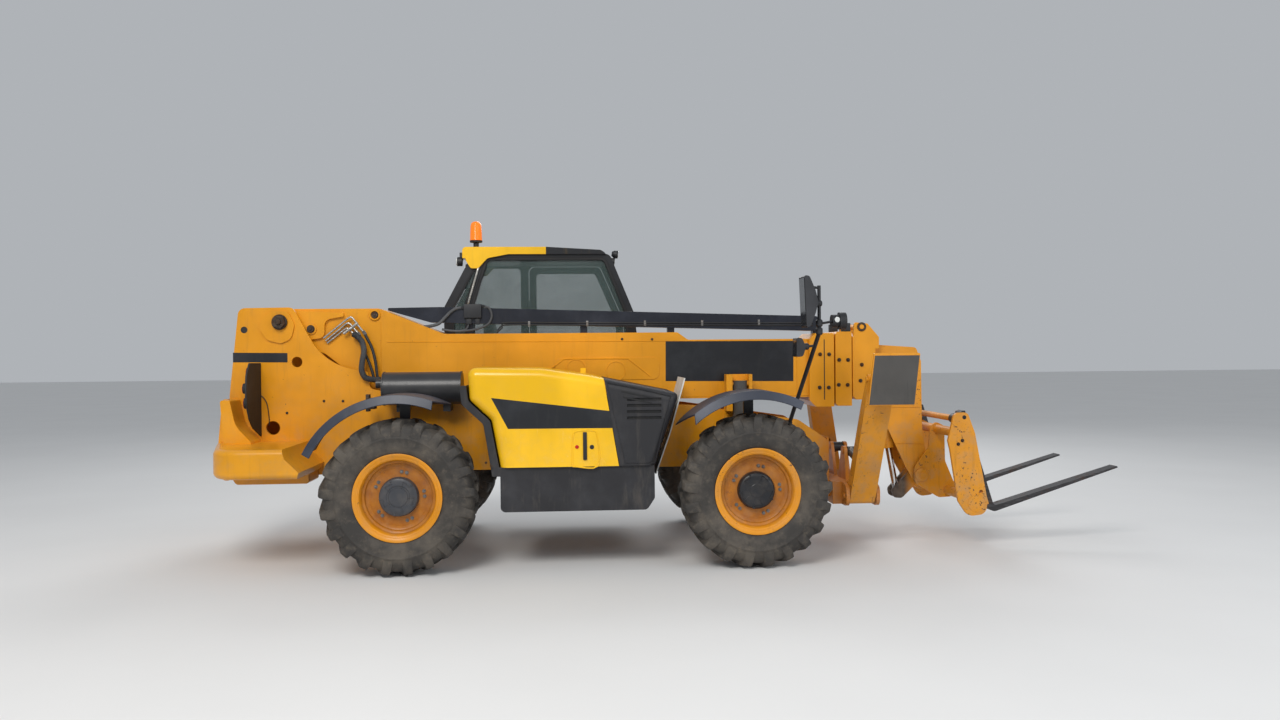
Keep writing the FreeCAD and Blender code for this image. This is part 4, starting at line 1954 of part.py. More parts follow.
    place(wheel, f"{column_x} - 172", seat_y, "1617", (0, 1, 0), f"{lean:.3f}")
    boss = strut("steering_boss", (f"{column_x} - 160", seat_y, "1588"), (f"{column_x} - 178", seat_y, "1632"), "60")
    spoke = strut(
        "steering_spoke", (f"{column_x} - 172", f"{seat_y} - 180", "1617"),
        (f"{column_x} - 172", f"{seat_y} + 180", "1617"), "10",
    )
    node("cab_controls", fuse("controls_whole", console, wheel, boss, spoke))
    make_tank()


def make_tank():
    """Fuel tank under the cab with two steps let into its outer face."""
    body = plate(
        "tank_shape", "XZ", "tank_y0", "tank_y1",
        [
            ("tank_x0", "tank_z0", "50"),
            ("tank_x1", "tank_z0", "50"),
            ("tank_x1", "cab_floor_z - 72", "20"),
            ("tank_x0", "cab_floor_z - 72", "20"),
        ],
    )
    steps = [
        box(
            f"step_{index}", "tank_x0 + 0.32 * (tank_x1 - tank_x0)", "tank_x0 + 0.714 * (tank_x1 - tank_x0)",
            "tank_y1 - step_depth", "tank_y1 + 5", z0, z1,
        )
        for index, (z0, z1) in enumerate((("tank_z0 + 30", "tank_z0 + 150"), ("tank_z0 + 180", "cab_floor_z - 60")))
    ]
    arms = [
        box(
            f"tank_arm_{index}", x, f"{x} + 60", "plate_inner + plate_wall", "tank_y0 + 20", "rail_bottom_z + 10",
            "rail_bottom_z + 70",
        )
        for index, x in enumerate(("tank_x0 + 180", "tank_x1 - 260"))
    ]
    node("fuel_tank", fuse("tank_whole", cut("tank_cut", body, *steps), *arms))


# Mirrors, lamps and the levelling ram above the front axle.

def make_fittings():
    post_x = "wheelbase + 548"
    mirror_parts = [
        rod("mirror_foot", "Y", "wheelbase + 430", "0", "1070", "20", "-410", "-(plate_inner + plate_wall)"),
        strut("mirror_arm", ("wheelbase + 430", "-392", "1070"), (post_x, "-960", "1830"), "17"),
        strut("mirror_post", (post_x, "-960", "1825"), (post_x, "-960", "2205"), "14"),
        strut("mirror_bend", (post_x, "-960", "2185"), ("wheelbase + 452", "-960", "2200"), "10"),
        plate(
            "mirror_shell", "XZ", "-1060", "-862",
            [
                ("wheelbase + 408", "2282", "12"),
                ("wheelbase + 448", "2276", "25"),
                ("wheelbase + 495", "2165", "60"),
                ("wheelbase + 518", "2074", "60"),
                ("wheelbase + 498", "1990", "60"),
                ("wheelbase + 456", "1880", "20"),
                ("wheelbase + 424", "1867", "10"),
            ],
        ),
        strut("mirror_link", ("wheelbase + 480", "-960", "2060"), (post_x, "-960", "2060"), "10"),
        plate(
            "mirror_small", "XZ", "-1035", "-885",
            [
                ("wheelbase + 350", "1790", "12"),
                ("wheelbase + 392", "1785", "25"),
                ("wheelbase + 422", "1715", "50"),
                ("wheelbase + 398", "1641", "25"),
                ("wheelbase + 346", "1636", "12"),
            ],
        ),
        strut("mirror_small_link", ("wheelbase + 390", "-930", "1715"), ("wheelbase + 530", "-880", "1725"), "10"),
        strut("lamp_arm", (post_x, "-960", "1900"), ("wheelbase + 705", "-860", "1924"), "10"),
        rod("arm_lamp_case", "X", "0", "-850", "1924", "52", "wheelbase + 676", "wheelbase + 745"),
        rod("arm_lamp_rim", "X", "0", "-850", "1924", "70", "wheelbase + 735", "wheelbase + 790"),
    ]
    node("right_mirror", fuse("right_mirror_whole", *mirror_parts))
    lamps = []
    for index, y in enumerate(("cab_inner_y + 80", "cab_outer_y - 80")):
        lamps.append(
            fuse(
                f"rear_lamp_{index}",
                rod(
                    f"rear_lamp_case_{index}", "X", "0", y, "cab_top_z - 62", "42", "cab_rear_x + 118",
                    "cab_rear_x + 164",
                ),
                box(
                    f"rear_lamp_arm_{index}", "cab_rear_x + 140", "cab_rear_x + 174 - slide_gap", f"{y} - 16",
                    f"{y} + 16", "cab_top_z - 50", "cab_top_z + 20",
                ),
            )
        )
    node("work_lamps", *lamps)
    tower_y = "plate_inner + plate_wall"
    web = plate(
        "level_web", "XZ", f"-({tower_y} + 12)", f"-({tower_y})",
        [
            ("wheelbase - 125", "1050", "0"),
            ("wheelbase + 112", "1050", "0"),
            ("wheelbase + 105", "1489", "30"),
            ("wheelbase - 117", "1489", "30"),
        ],
    )
    fins = [
        box(f"level_fin_{index}", x0, x1, f"-({tower_y} + 120)", f"-({tower_y})", z0, "1489")
        for index, (x0, x1, z0) in enumerate(
            (("wheelbase - 117", "wheelbase - 66", "1178"), ("wheelbase + 78", "wheelbase + 105", "1363"))
        )
    ]
    ram_y = f"-({tower_y} + 68)"
    case = rod("level_case", "Z", "wheelbase + 6", ram_y, "0", "60", "860", "1440")
    head = rod("level_pin", "X", "0", ram_y, "1410", "22", "wheelbase - 80", "wheelbase + 90")
    stem = rod("level_rod", "Z", "wheelbase + 6", ram_y, "0", "28", "axle_z + beam_half + slide_gap", "880")
    node("levelling_ram", fuse("levelling_whole", web, *fins, case, head, stem))


make_wheels()
make_axle("front_axle", "wheelbase", 1)
make_axle("rear_axle", "0", -1)
make_knuckles()
make_chassis()
make_weight()
make_boom()
make_rams()
make_carrier()
make_stabilisers()
make_engine_bay()
make_cab()
make_fittings()

doc.recompute()
failed = [item.Name for item in doc.Objects if "Invalid" in item.State or "Error" in item.State]
if failed:
    raise RuntimeError(f"did not build: {failed}")
failed = [
    label for label, item in nodes.items()
    if item.Shape.isNull() or not item.Shape.isValid() or not item.Shape.Solids
]
if failed:
    raise RuntimeError(f"no valid solid: {failed}")
os.makedirs("parts", exist_ok=True)
for label, item in nodes.items():
    item.Shape.exportStep(f"parts/{label}.step")
print(len(nodes), "nodes written")
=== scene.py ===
import math

import bmesh
import bpy
from mathutils import Matrix, Vector


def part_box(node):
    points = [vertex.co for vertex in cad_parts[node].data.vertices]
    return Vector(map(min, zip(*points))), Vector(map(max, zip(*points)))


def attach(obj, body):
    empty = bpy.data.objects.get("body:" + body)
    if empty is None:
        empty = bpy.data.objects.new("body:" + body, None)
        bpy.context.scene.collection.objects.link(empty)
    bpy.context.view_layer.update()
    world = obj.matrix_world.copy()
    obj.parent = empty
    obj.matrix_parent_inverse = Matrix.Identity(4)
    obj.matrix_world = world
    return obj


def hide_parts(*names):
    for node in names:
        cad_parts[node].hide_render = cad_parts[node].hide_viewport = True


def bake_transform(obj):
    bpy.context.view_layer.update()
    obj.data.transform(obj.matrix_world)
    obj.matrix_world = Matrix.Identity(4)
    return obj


# Looks of the telehandler. Metres, in the frame of the part: X forwards, Y to the left, Z up.
# Places are counted from the rear axle on the ground, and at() moves them into the frame.

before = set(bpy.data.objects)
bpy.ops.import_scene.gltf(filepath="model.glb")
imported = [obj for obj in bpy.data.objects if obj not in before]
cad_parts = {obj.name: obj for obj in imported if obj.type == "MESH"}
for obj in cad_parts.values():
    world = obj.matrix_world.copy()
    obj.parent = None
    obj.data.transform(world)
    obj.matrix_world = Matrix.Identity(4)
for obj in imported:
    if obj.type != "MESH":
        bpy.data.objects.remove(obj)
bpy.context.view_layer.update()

tyreBox = [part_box(f"tyre_rear_{side}") for side in ("left", "right")]
rearAxleX = (tyreBox[0][0][0] + tyreBox[0][1][0]) / 2
wheelbase = (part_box("tyre_front_left")[0][0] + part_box("tyre_front_left")[1][0]) / 2 - rearAxleX
sides = (("left", 1), ("right", -1))
axles = (("front", wheelbase), ("rear", 0.0))


def at(x, y, z):
    return Vector((x + rearAxleX, y, z))


# Materials, all worked out from the object's own coordinates.

# a material's node tree, with short calls for the nodes used here
class Tree:
    def __init__(self, name):
        self.material = bpy.data.materials.new(name)
        self.material.use_nodes = True
        self.nodes = self.material.node_tree.nodes
        self.links = self.material.node_tree.links
        self.shader = self.nodes["Principled BSDF"]
        self.coords = self.nodes.new("ShaderNodeTexCoord").outputs["Object"]

    def put(self, target, value):
        if isinstance(value, bpy.types.NodeSocket):
            self.links.new(value, target)
        elif hasattr(value, "__len__") and len(value) == 3 and len(target.default_value) == 4:
            target.default_value = (*value, 1)
        else:
            target.default_value = value

    def mapped(self, scale):
        node = self.nodes.new("ShaderNodeMapping")
        self.links.new(self.coords, node.inputs["Vector"])
        node.inputs["Scale"].default_value = scale if hasattr(scale, "__len__") else (scale,) * 3
        return node.outputs["Vector"]

    def noise(self, scale, detail=4, roughness=0.55, stretch=(1, 1, 1)):
        node = self.nodes.new("ShaderNodeTexNoise")
        self.links.new(self.mapped(stretch), node.inputs["Vector"])
        node.inputs["Scale"].default_value = scale
        node.inputs["Detail"].default_value = detail
        node.inputs["Roughness"].default_value = roughness
        return node.outputs["Fac"]

    def ramp(self, value, low, high, start=0.0, end=1.0):
        node = self.nodes.new("ShaderNodeMapRange")
        node.interpolation_type = "SMOOTHSTEP"
        self.put(node.inputs["Value"], value)
        node.inputs["From Min"].default_value = low
        node.inputs["From Max"].default_value = high
        node.inputs["To Min"].default_value = start
        node.inputs["To Max"].default_value = end
        return node.outputs["Result"]

    def math(self, operation, first, second):
        node = self.nodes.new("ShaderNodeMath")
        node.operation = operation
        self.put(node.inputs[0], first)
        self.put(node.inputs[1], second)
        return node.outputs[0]

    def mix(self, factor, first, second):
        node = self.nodes.new("ShaderNodeMix")
        node.data_type = "RGBA"
        self.put(node.inputs["Factor"], factor)
        self.put(node.inputs[6], (*first, 1) if isinstance(first, tuple) else first)
        self.put(node.inputs[7], (*second, 1) if isinstance(second, tuple) else second)
        return node.outputs[2]

    def axis(self, letter):
        node = self.nodes.new("ShaderNodeSeparateXYZ")
        self.links.new(self.coords, node.inputs[0])
        return node.outputs[letter]

    def bump(self, height, strength, distance):
        node = self.nodes.new("ShaderNodeBump")
        node.inputs["Strength"].default_value = strength
        node.inputs["Distance"].default_value = distance
        self.links.new(height, node.inputs["Height"])
        self.links.new(node.outputs["Normal"], self.shader.inputs["Normal"])

    def finish(self, colour, roughness, **constants):
        self.put(self.shader.inputs["Base Color"], colour)
        self.put(self.shader.inputs["Roughness"], roughness)
        for name, value in constants.items():
            self.shader.inputs[name.replace("_", " ")].default_value = value
        return self.material


dustColour = (0.30, 0.25, 0.19)


# machine enamel: slight tone changes, dust low down, rain streaks, grime and small chips
def paint(
    name, base, gloss=0.36, dust=0.35, chips=0.0, grime=0.25, second=None, splitX=None, blur=0.002, dishShadeAndDirt=False
):
    tree = Tree(name)
    shade = tuple(channel * 0.86 for channel in base)
    light = tuple(min(1.0, channel * 1.05 + 0.008) for channel in base)
    colour = tree.mix(tree.ramp(tree.noise(1.7, 3), 0.35, 0.7), shade, light)
    if second:  # a second colour ahead of splitX, or behind it where the blur is negative
        edge = tree.ramp(tree.axis("X"), splitX - blur, splitX + blur)
        colour = tree.mix(edge, colour, second)
    if dishShadeAndDirt:  # painted shade in the deep part of a rim, broken up by patchy dirt
        deepShade = tree.ramp(tree.math("ABSOLUTE", tree.axis("Y"), 0.0), 1.100, 1.178, 0.86, 0.0)
        patchy = tree.ramp(tree.noise(12.0, 5, 0.65), 0.25, 0.75, 0.6, 1.0)
        colour = tree.mix(tree.math("MULTIPLY", deepShade, patchy), colour, (0.25, 0.068, 0.004))
    streaks = tree.ramp(tree.noise(5.0, 5, 0.6, (5, 5, 0.45)), 0.52, 0.78)
    low = tree.ramp(tree.axis("Z"), 0.35, 1.75, 1.0, 0.12)
    spots = tree.ramp(tree.noise(9.0, 6, 0.65), 0.4, 0.72)
    dusty = tree.math("MULTIPLY", tree.math("MULTIPLY", spots, low), dust)
    dirty = tree.math("MULTIPLY", streaks, grime)
    colour = tree.mix(dirty, colour, tuple(channel * 0.42 + 0.015 for channel in base))
    colour = tree.mix(dusty, colour, dustColour)
    rough = tree.ramp(tree.math("ADD", dusty, dirty), 0.0, 0.6, gloss, min(0.9, gloss + 0.35))
    if chips:
        chip = tree.ramp(tree.noise(38.0, 4, 0.7), 0.72 - 0.1 * chips, 0.74 - 0.1 * chips)
        patch = tree.ramp(tree.noise(2.6, 4, 0.6), 0.46, 0.6)
        worn = tree.math("MULTIPLY", chip, patch)
        colour = tree.mix(worn, colour, (0.075, 0.045, 0.03))
        rough = tree.math("MAXIMUM", rough, tree.math("MULTIPLY", worn, 0.8))
    tree.bump(tree.noise(60.0, 2), 0.08, 0.002)
    return tree.finish(colour, rough, Coat_Weight=0.12, Coat_Roughness=0.12, Specular_IOR_Level=0.38)


# moulded plastic with a fine grain, faded and dusty in patches
def plastic(name, base, gloss=0.5, dust=0.3, grain=0.25):
    tree = Tree(name)
    faded = tuple(channel * 1.7 + 0.012 for channel in base)
    colour = tree.mix(tree.ramp(tree.noise(2.2, 5, 0.6), 0.42, 0.75), base, faded)
    streaks = tree.ramp(tree.noise(4.0, 6, 0.65, (4, 4, 0.8)), 0.5, 0.8)
    low = tree.ramp(tree.axis("Z"), 0.4, 1.9, 1, 0.25)
    dusty = tree.math("MULTIPLY", tree.math("MULTIPLY", streaks, low), dust)
    colour = tree.mix(dusty, colour, dustColour)
    tree.bump(tree.noise(420.0, 2), grain, 0.0008)
    return tree.finish(colour, tree.ramp(dusty, 0.0, 0.5, gloss, 0.85))


# bare or blackened steel, brushed by use and rusty in patches
def steel(name, base=(0.16, 0.155, 0.15), rust=0.35, gloss=0.42):
    tree = Tree(name)
    scratches = tree.ramp(tree.noise(30.0, 5, 0.7, (0.35, 3, 3)), 0.45, 0.7)
    colour = tree.mix(scratches, base, tuple(channel * 2.1 for channel in base))
    rusty = tree.math("MULTIPLY", tree.ramp(tree.noise(7.0, 8, 0.7), 0.5, 0.66), rust)
    colour = tree.mix(rusty, colour, (0.17, 0.075, 0.03))
    rough = tree.ramp(rusty, 0.0, 0.4, gloss, 0.85)
    tree.bump(scratches, 0.15, 0.001)
    return tree.finish(colour, rough, Metallic=0.75)


def chrome(name):
    tree = Tree(name)
    smear = tree.ramp(tree.noise(6.0, 5, 0.6), 0.45, 0.8)
    colour = tree.mix(smear, (0.74, 0.75, 0.77), (0.52, 0.50, 0.46))
    return tree.finish(colour, tree.ramp(smear, 0, 1, 0.1, 0.3), Metallic=1.0)


# tyre rubber: paler dusty patches and light specks of mud
def rubber(name):
    tree = Tree(name)
    patches = tree.ramp(tree.noise(4.5, 6, 0.65), 0.38, 0.72)
    colour = tree.mix(patches, (0.034, 0.031, 0.028), (0.098, 0.084, 0.068))
    mud = tree.ramp(tree.noise(16.0, 7, 0.7), 0.5, 0.8)
    colour = tree.mix(tree.math("MULTIPLY", mud, 0.55), colour, (0.20, 0.165, 0.125))
    tree.bump(tree.noise(120.0, 4), 0.25, 0.0015)
    return tree.finish(colour, tree.ramp(mud, 0, 1, 0.72, 0.95))


def glass(name, tint=(0.10, 0.15, 0.14), cover=0.28):
    tree = Tree(name)
    haze = tree.ramp(tree.noise(3.0, 5, 0.6), 0.4, 0.85, cover, cover + 0.12)
    material = tree.finish(tint, 0.04, Specular_IOR_Level=0.8)
    tree.links.new(haze, tree.shader.inputs["Alpha"])
    return material


# ribbed lamp plastic
def lens(name, base, glow=0.0):
    tree = Tree(name)
    wave = tree.nodes.new("ShaderNodeTexWave")
    tree.links.new(tree.mapped(1), wave.inputs["Vector"])
    wave.bands_direction = "Z"
    wave.inputs["Scale"].default_value = 28
    tree.bump(wave.outputs["Fac"], 0.3, 0.003)
    colour = tree.mix(tree.noise(14.0, 3), base, tuple(channel * 0.8 for channel in base))
    return tree.finish(colour, 0.18, Emission_Color=(*base, 1), Emission_Strength=glow)


def cloth(name, base):
    tree = Tree(name)
    weave = tree.nodes.new("ShaderNodeTexWave")
    tree.links.new(tree.mapped(1), weave.inputs["Vector"])
    weave.inputs["Scale"].default_value = 220
    cross = tree.nodes.new("ShaderNodeTexWave")
    cross.bands_direction = "Y"
    tree.links.new(tree.mapped(1), cross.inputs["Vector"])
    cross.inputs["Scale"].default_value = 220
    threads = tree.math("MULTIPLY", weave.outputs["Fac"], cross.outputs["Fac"])
    tree.bump(threads, 0.4, 0.001)
    colour = tree.mix(threads, base, tuple(channel * 1.8 for channel in base))
    return tree.finish(colour, 0.9, Sheen_Weight=0.3)


orange = (0.78, 0.315, 0.001)
yellow = (0.92, 0.520, 0.005)
black = (0.012, 0.013, 0.016)

looks = {
    "body": paint("bodyPaint", orange, gloss=0.38, dust=0.30, chips=0.25),
    "frame": paint(
        "framePaint", orange, gloss=0.38, dust=0.30, chips=0.25,
        second=(0.50, 0.170, 0.010), splitX=rearAxleX + 3.48, blur=0.10,
    ),
    "hood": paint("hoodPaint", yellow, gloss=0.26, dust=0.16, grime=0.10),
    "boom": paint("boomPaint", orange, gloss=0.36, dust=0.14, grime=0.16, chips=0.2),
    "cast": paint("castPaint", (0.82, 0.35, 0.004), gloss=0.30, dust=0.22, grime=0.2),
    "worn": paint("wornPaint", (0.74, 0.295, 0.006), gloss=0.5, dust=0.4, grime=0.4, chips=1.2),
    "rim": paint("rimPaint", (0.76, 0.290, 0.002), gloss=0.42, dust=0.20, chips=0.5, dishShadeAndDirt=True),
    "wornRim": paint("wornRimPaint", (0.76, 0.290, 0.002), gloss=0.5, dust=0.22, chips=1.1, dishShadeAndDirt=True),
    "dark": paint("darkPaint", (0.020, 0.021, 0.024), gloss=0.42, dust=0.22, grime=0.3),
    "silencer": paint("silencerPaint", (0.028, 0.029, 0.033), gloss=0.36, dust=0.16, grime=0.5),
    "hub": paint("hubPaint", (0.050, 0.054, 0.064), gloss=0.5, dust=0.14, grime=0.4),
    "hubDark": paint("hubDarkPaint", (0.008, 0.009, 0.013), gloss=0.42, dust=0.10, grime=0.2),
    "cab": paint("cabPaint", (0.014, 0.015, 0.018), gloss=0.34, dust=0.12, grime=0.1),
    "roof": paint(
        "roofPaint", yellow, gloss=0.30, dust=0.06, grime=0.12, second=black, splitX=rearAxleX + 1.098
    ),
    "plastic": plastic("blackPlastic", (0.012, 0.013, 0.016), dust=0.14),
    "grille": plastic("grillePlastic", (0.013, 0.013, 0.016), gloss=0.55, dust=0.16, grain=0.5),
    "guard": plastic("guardPlastic", (0.026, 0.032, 0.050), gloss=0.42, dust=0.12),
    "tray": plastic("glossyTray", (0.010, 0.012, 0.020), gloss=0.26, dust=0.10, grain=0.04),
    "decal": plastic("barePanel", (0.009, 0.010, 0.013), gloss=0.3, dust=0.08, grain=0.05),
    "hose": plastic("hoseRubber", (0.014, 0.014, 0.015), gloss=0.6, dust=0.25),
    "greyHose": plastic("greySleeve", (0.060, 0.062, 0.066), gloss=0.7, dust=0.2, grain=0.6),
    "seal": plastic("sealRubber", (0.008, 0.008, 0.009), gloss=0.7, dust=0.1),
    "steel": steel("plainSteel"),
    "greyPaint": paint("greyPaint", (0.066, 0.062, 0.057), gloss=0.6, dust=0.14, grime=0.5, chips=0.8),
    "carrier": paint(
        "carrierPaint", (0.74, 0.295, 0.006), gloss=0.5, dust=0.4, grime=0.4, chips=1.2,
        second=(0.050, 0.034, 0.024), splitX=rearAxleX + 4.325, blur=-0.045,
    ),
    "rusty": steel("rustySteel", (0.06, 0.045, 0.035), rust=0.9, gloss=0.6),
    "zinc": steel("platedSteel", (0.42, 0.41, 0.38), rust=0.15, gloss=0.3),
    "forkSteel": steel("forkSteel", (0.05, 0.048, 0.05), rust=0.25, gloss=0.45),
    "chrome": chrome("rodChrome"),
    "engine": steel("castIron", (0.05, 0.05, 0.052), rust=0.25, gloss=0.6),
    "tyre": rubber("tyreRubber"),
    "glass": glass("cabGlass"),
    "mirrorGlass": steel("mirrorFace", (0.05, 0.055, 0.06), rust=0.0, gloss=0.12),
    "amber": lens("amberLens", (0.95, 0.22, 0.01), glow=0.35),
    "red": lens("redLens", (0.50, 0.008, 0.006), glow=0.08),
    "clear": lens("clearLens", (0.80, 0.82, 0.80)),
    "white": plastic("palePlastic", (0.62, 0.62, 0.58), gloss=0.5, dust=0.3),
    "cloth": cloth("seatCloth", (0.016, 0.017, 0.02)),
}
print("materials", len(looks))


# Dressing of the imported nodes: their shape stays, edges get a small round.

dressing = {"weldGap": 0.00002, "flatAngle": 0.6, "sharpAngle": 38, "steps": 2}


def dress(node, look, edge):
    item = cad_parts[node]
    item.data.materials.clear()
    item.data.materials.append(looks[look])
    if not edge:
        return
    weld = item.modifiers.new("weld", "WELD")
    weld.merge_threshold = dressing["weldGap"]
    flat = item.modifiers.new("flat", "DECIMATE")
    flat.decimate_type = "DISSOLVE"
    flat.angle_limit = math.radians(dressing["flatAngle"])
    bevel = item.modifiers.new("bevel", "BEVEL")
    bevel.limit_method = "ANGLE"
    bevel.angle_limit = math.radians(dressing["sharpAngle"])
    bevel.width = edge
    bevel.segments = dressing["steps"]
    normals = item.modifiers.new("normals", "WEIGHTED_NORMAL")
    normals.keep_sharp = False
    item.data.shade_smooth()


nodeLooks = {
    "chassis_frame": ("frame", 0.003), "rear_weight": ("cast", 0.006), "lamp_boards": ("seal", 0.006),
    "front_axle": ("dark", 0.008), "rear_axle": ("dark", 0.008), "engine_tray": ("grille", 0.006),
    "engine_block": ("engine", 0.02), "silencer": ("silencer", 0.003), "splash_guard": ("white", 0.0),
    "fuel_tank": ("plastic", 0.02), "cab_frame": ("cab", 0.008), "cab_windows": ("glass", 0.0),
    "cab_roof": ("roof", 0.018), "cab_controls": ("plastic", 0.008), "work_lamps": ("plastic", 0.008),
    "right_mirror": ("plastic", 0.004), "levelling_ram": ("body", 0.004), "boom_outer": ("boom", 0.003),
    "boom_second": ("boom", 0.003), "boom_third": ("boom", 0.003), "boom_nose": ("worn", 0.003),
    "hose_tray": ("tray", 0.006), "lift_ram_barrel": ("body", 0.003), "lift_ram_rod": ("chrome", 0.002),
    "tilt_ram_barrel": ("worn", 0.003), "tilt_ram_rod": ("chrome", 0.002), "tool_carrier": ("carrier", 0.003),
    "fork_frame": ("worn", 0.003), "forks": ("forkSteel", 0.003), "engine_hood": ("hood", 0.004),
    "hood_grille": ("grille", 0.006), "door_frame": ("cab", 0.008), "door_window": ("glass", 0.0),
    "beacon": ("amber", 0.003),
}
for side, sign in sides:
    nodeLooks[f"stabiliser_leg_{side}"] = ("worn", 0.004)
    nodeLooks[f"stabiliser_pad_{side}"] = ("worn", 0.003)
    nodeLooks[f"stabiliser_ram_{side}_barrel"] = ("dark", 0.003)
    nodeLooks[f"stabiliser_ram_{side}_rod"] = ("chrome", 0.002)
    for axle, x in axles:
        nodeLooks[f"knuckle_{axle}_{side}"] = ("dark", 0.006)
        nodeLooks[f"guard_{axle}_{side}"] = ("guard", 0.003)
for node, (look, edge) in nodeLooks.items():
    dress(node, look, edge)
print("dressed", len(nodeLooks))


# Mesh builders. lookSlots lists the usual slot of each look.

lookSlots = {
    "boom": "body_paint", "worn": "body_paint", "hood": "hood_paint",
    "rim": "rim_paint", "wornRim": "rim_paint", "zinc": "chrome_rod",
    "decal": "black_plastic", "seal": "black_plastic", "plastic": "black_plastic",
    "grille": "black_plastic", "hose": "black_plastic", "greyHose": "black_plastic",
    "rusty": "dark_paint", "steel": "dark_paint", "greyPaint": "dark_paint",
    "hub": "dark_paint", "hubDark": "dark_paint",
    "tyre": "tyre_rubber", "cloth": "seat_cloth",
    "clear": "glass", "mirrorGlass": "glass", "amber": "amber_lens", "red": "amber_lens",
}


# an object from a bmesh or a mesh, with its look, that rides on a body
def piece(name, mesh, look, body, smooth=40, slot=None):
    if isinstance(mesh, bmesh.types.BMesh):
        bmesh.ops.recalc_face_normals(mesh, faces=mesh.faces)
        data = bpy.data.meshes.new(name)
        mesh.to_mesh(data)
        mesh.free()
        mesh = data
    item = bpy.data.objects.new(name, mesh)
    bpy.context.scene.collection.objects.link(item)
    mesh.materials.clear()
    mesh.materials.append(looks[look])
    mesh.shade_smooth()
    mesh.set_sharp_from_angle(angle=math.radians(smooth))
    slot = slot or lookSlots[look]
    if body:
        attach(item, body)
    return item


# several bmeshes as one
def joined(*meshes):
    whole = bmesh.new()
    for part in meshes:
        data = bpy.data.meshes.new("part")
        part.to_mesh(data)
        part.free()
        whole.from_mesh(data)
        bpy.data.meshes.remove(data)
    return whole


# round the sharp edges of a bmesh
def rounded(mesh, width, segments=3, angle=30):
    edges = [
        edge for edge in mesh.edges
        if len(edge.link_faces) == 2 and edge.calc_face_angle(0) > math.radians(angle)
    ]
    bmesh.ops.bevel(
        mesh, geom=edges, offset=width, segments=segments, profile=0.5, affect="EDGES", clamp_overlap=True
    )
    return mesh


# a box between two corners, with rounded edges
def block(low, high, round=0.0):
    mesh = bmesh.new()
    bmesh.ops.create_cube(mesh, size=1)
    low, high = Vector(low), Vector(high)
    for vertex in mesh.verts:
        vertex.co = Vector([(low[i] + high[i]) / 2 + vertex.co[i] * abs(high[i] - low[i]) for i in range(3)])
    return rounded(mesh, round) if round else mesh


# an (x, z) outline, drawn out along Y from start to end
def slab(outline, start, end, round=0.0):
    mesh = bmesh.new()
    ends = [[mesh.verts.new((x, y, z)) for x, z in outline] for y in (start, end)]
    mesh.faces.new(ends[0])
    mesh.faces.new(list(reversed(ends[1])))
    count = len(outline)
    for index in range(count):
        following = (index + 1) % count
        mesh.faces.new((ends[0][index], ends[0][following], ends[1][following], ends[1][index]))
    bmesh.ops.recalc_face_normals(mesh, faces=mesh.faces)
    return rounded(mesh, round, 1) if round else mesh


# a profile of (along, radius) turned about an axis through a centre
def spun(profile, centre, axis=(0, 1, 0), segments=64):
    mesh = bmesh.new()
    direction = Vector(axis).normalized()
    across = direction.orthogonal().normalized()
    rings = []
    for along, radius in profile:
        if radius < 1e-6:
            rings.append([mesh.verts.new(Vector(centre) + direction * along)])
            continue
        ring = []
        for step in range(segments):
            turn = Matrix.Rotation(2 * math.pi * step / segments, 3, direction)
            ring.append(mesh.verts.new(Vector(centre) + direction * along + turn @ across * radius))
        rings.append(ring)
    for one, two in zip(rings, rings[1:]):
        for step in range(segments):
            following = (step + 1) % segments
            if len(one) == 1:
                mesh.faces.new((one[0], two[following], two[step]))
            elif len(two) == 1:
                mesh.faces.new((one[step], one[following], two[0]))
            else:
                mesh.faces.new((one[step], one[following], two[following], two[step]))
    return mesh


# a round tube along a smooth line through the points
def tube(points, radius, sides=10, smoothing=8):
    line = smoothLine([Vector(point) for point in points], smoothing)
    mesh = bmesh.new()
    rings = []
    normal = (line[1] - line[0]).orthogonal().normalized()
    for index, point in enumerate(line):
        ahead = line[min(index + 1, len(line) - 1)] - line[max(index - 1, 0)]
        ahead.normalize()
        normal = (normal - ahead * normal.dot(ahead)).normalized()
        other = ahead.cross(normal)
        rings.append([
            mesh.verts.new(
                point + normal * math.cos(2 * math.pi * step / sides) * radius
                + other * math.sin(2 * math.pi * step / sides) * radius
            )
            for step in range(sides)
        ])
    for one, two in zip(rings, rings[1:]):
        for step in range(sides):
            following = (step + 1) % sides
            mesh.faces.new((one[step], one[following], two[following], two[step]))
    mesh.faces.new(list(reversed(rings[0])))
    mesh.faces.new(rings[-1])
    return mesh


# points on a smooth curve through the given ones; steps of 1 keeps the straight runs
def smoothLine(points, steps):
    if steps <= 1 or len(points) < 3:
        return points
    padded = [points[0] * 2 - points[1]] + points + [points[-1] * 2 - points[-2]]
    line = []
    for a, b, c, d in zip(padded, padded[1:], padded[2:], padded[3:]):
        for step in range(steps):
            t = step / steps
            line.append(
                0.5 * ((2 * b) + (c - a) * t + (2 * a - 5 * b + 4 * c - d) * t * t
                       + (3 * b - a - 3 * c + d) * t * t * t)
            )
    line.append(points[-1])
    return line


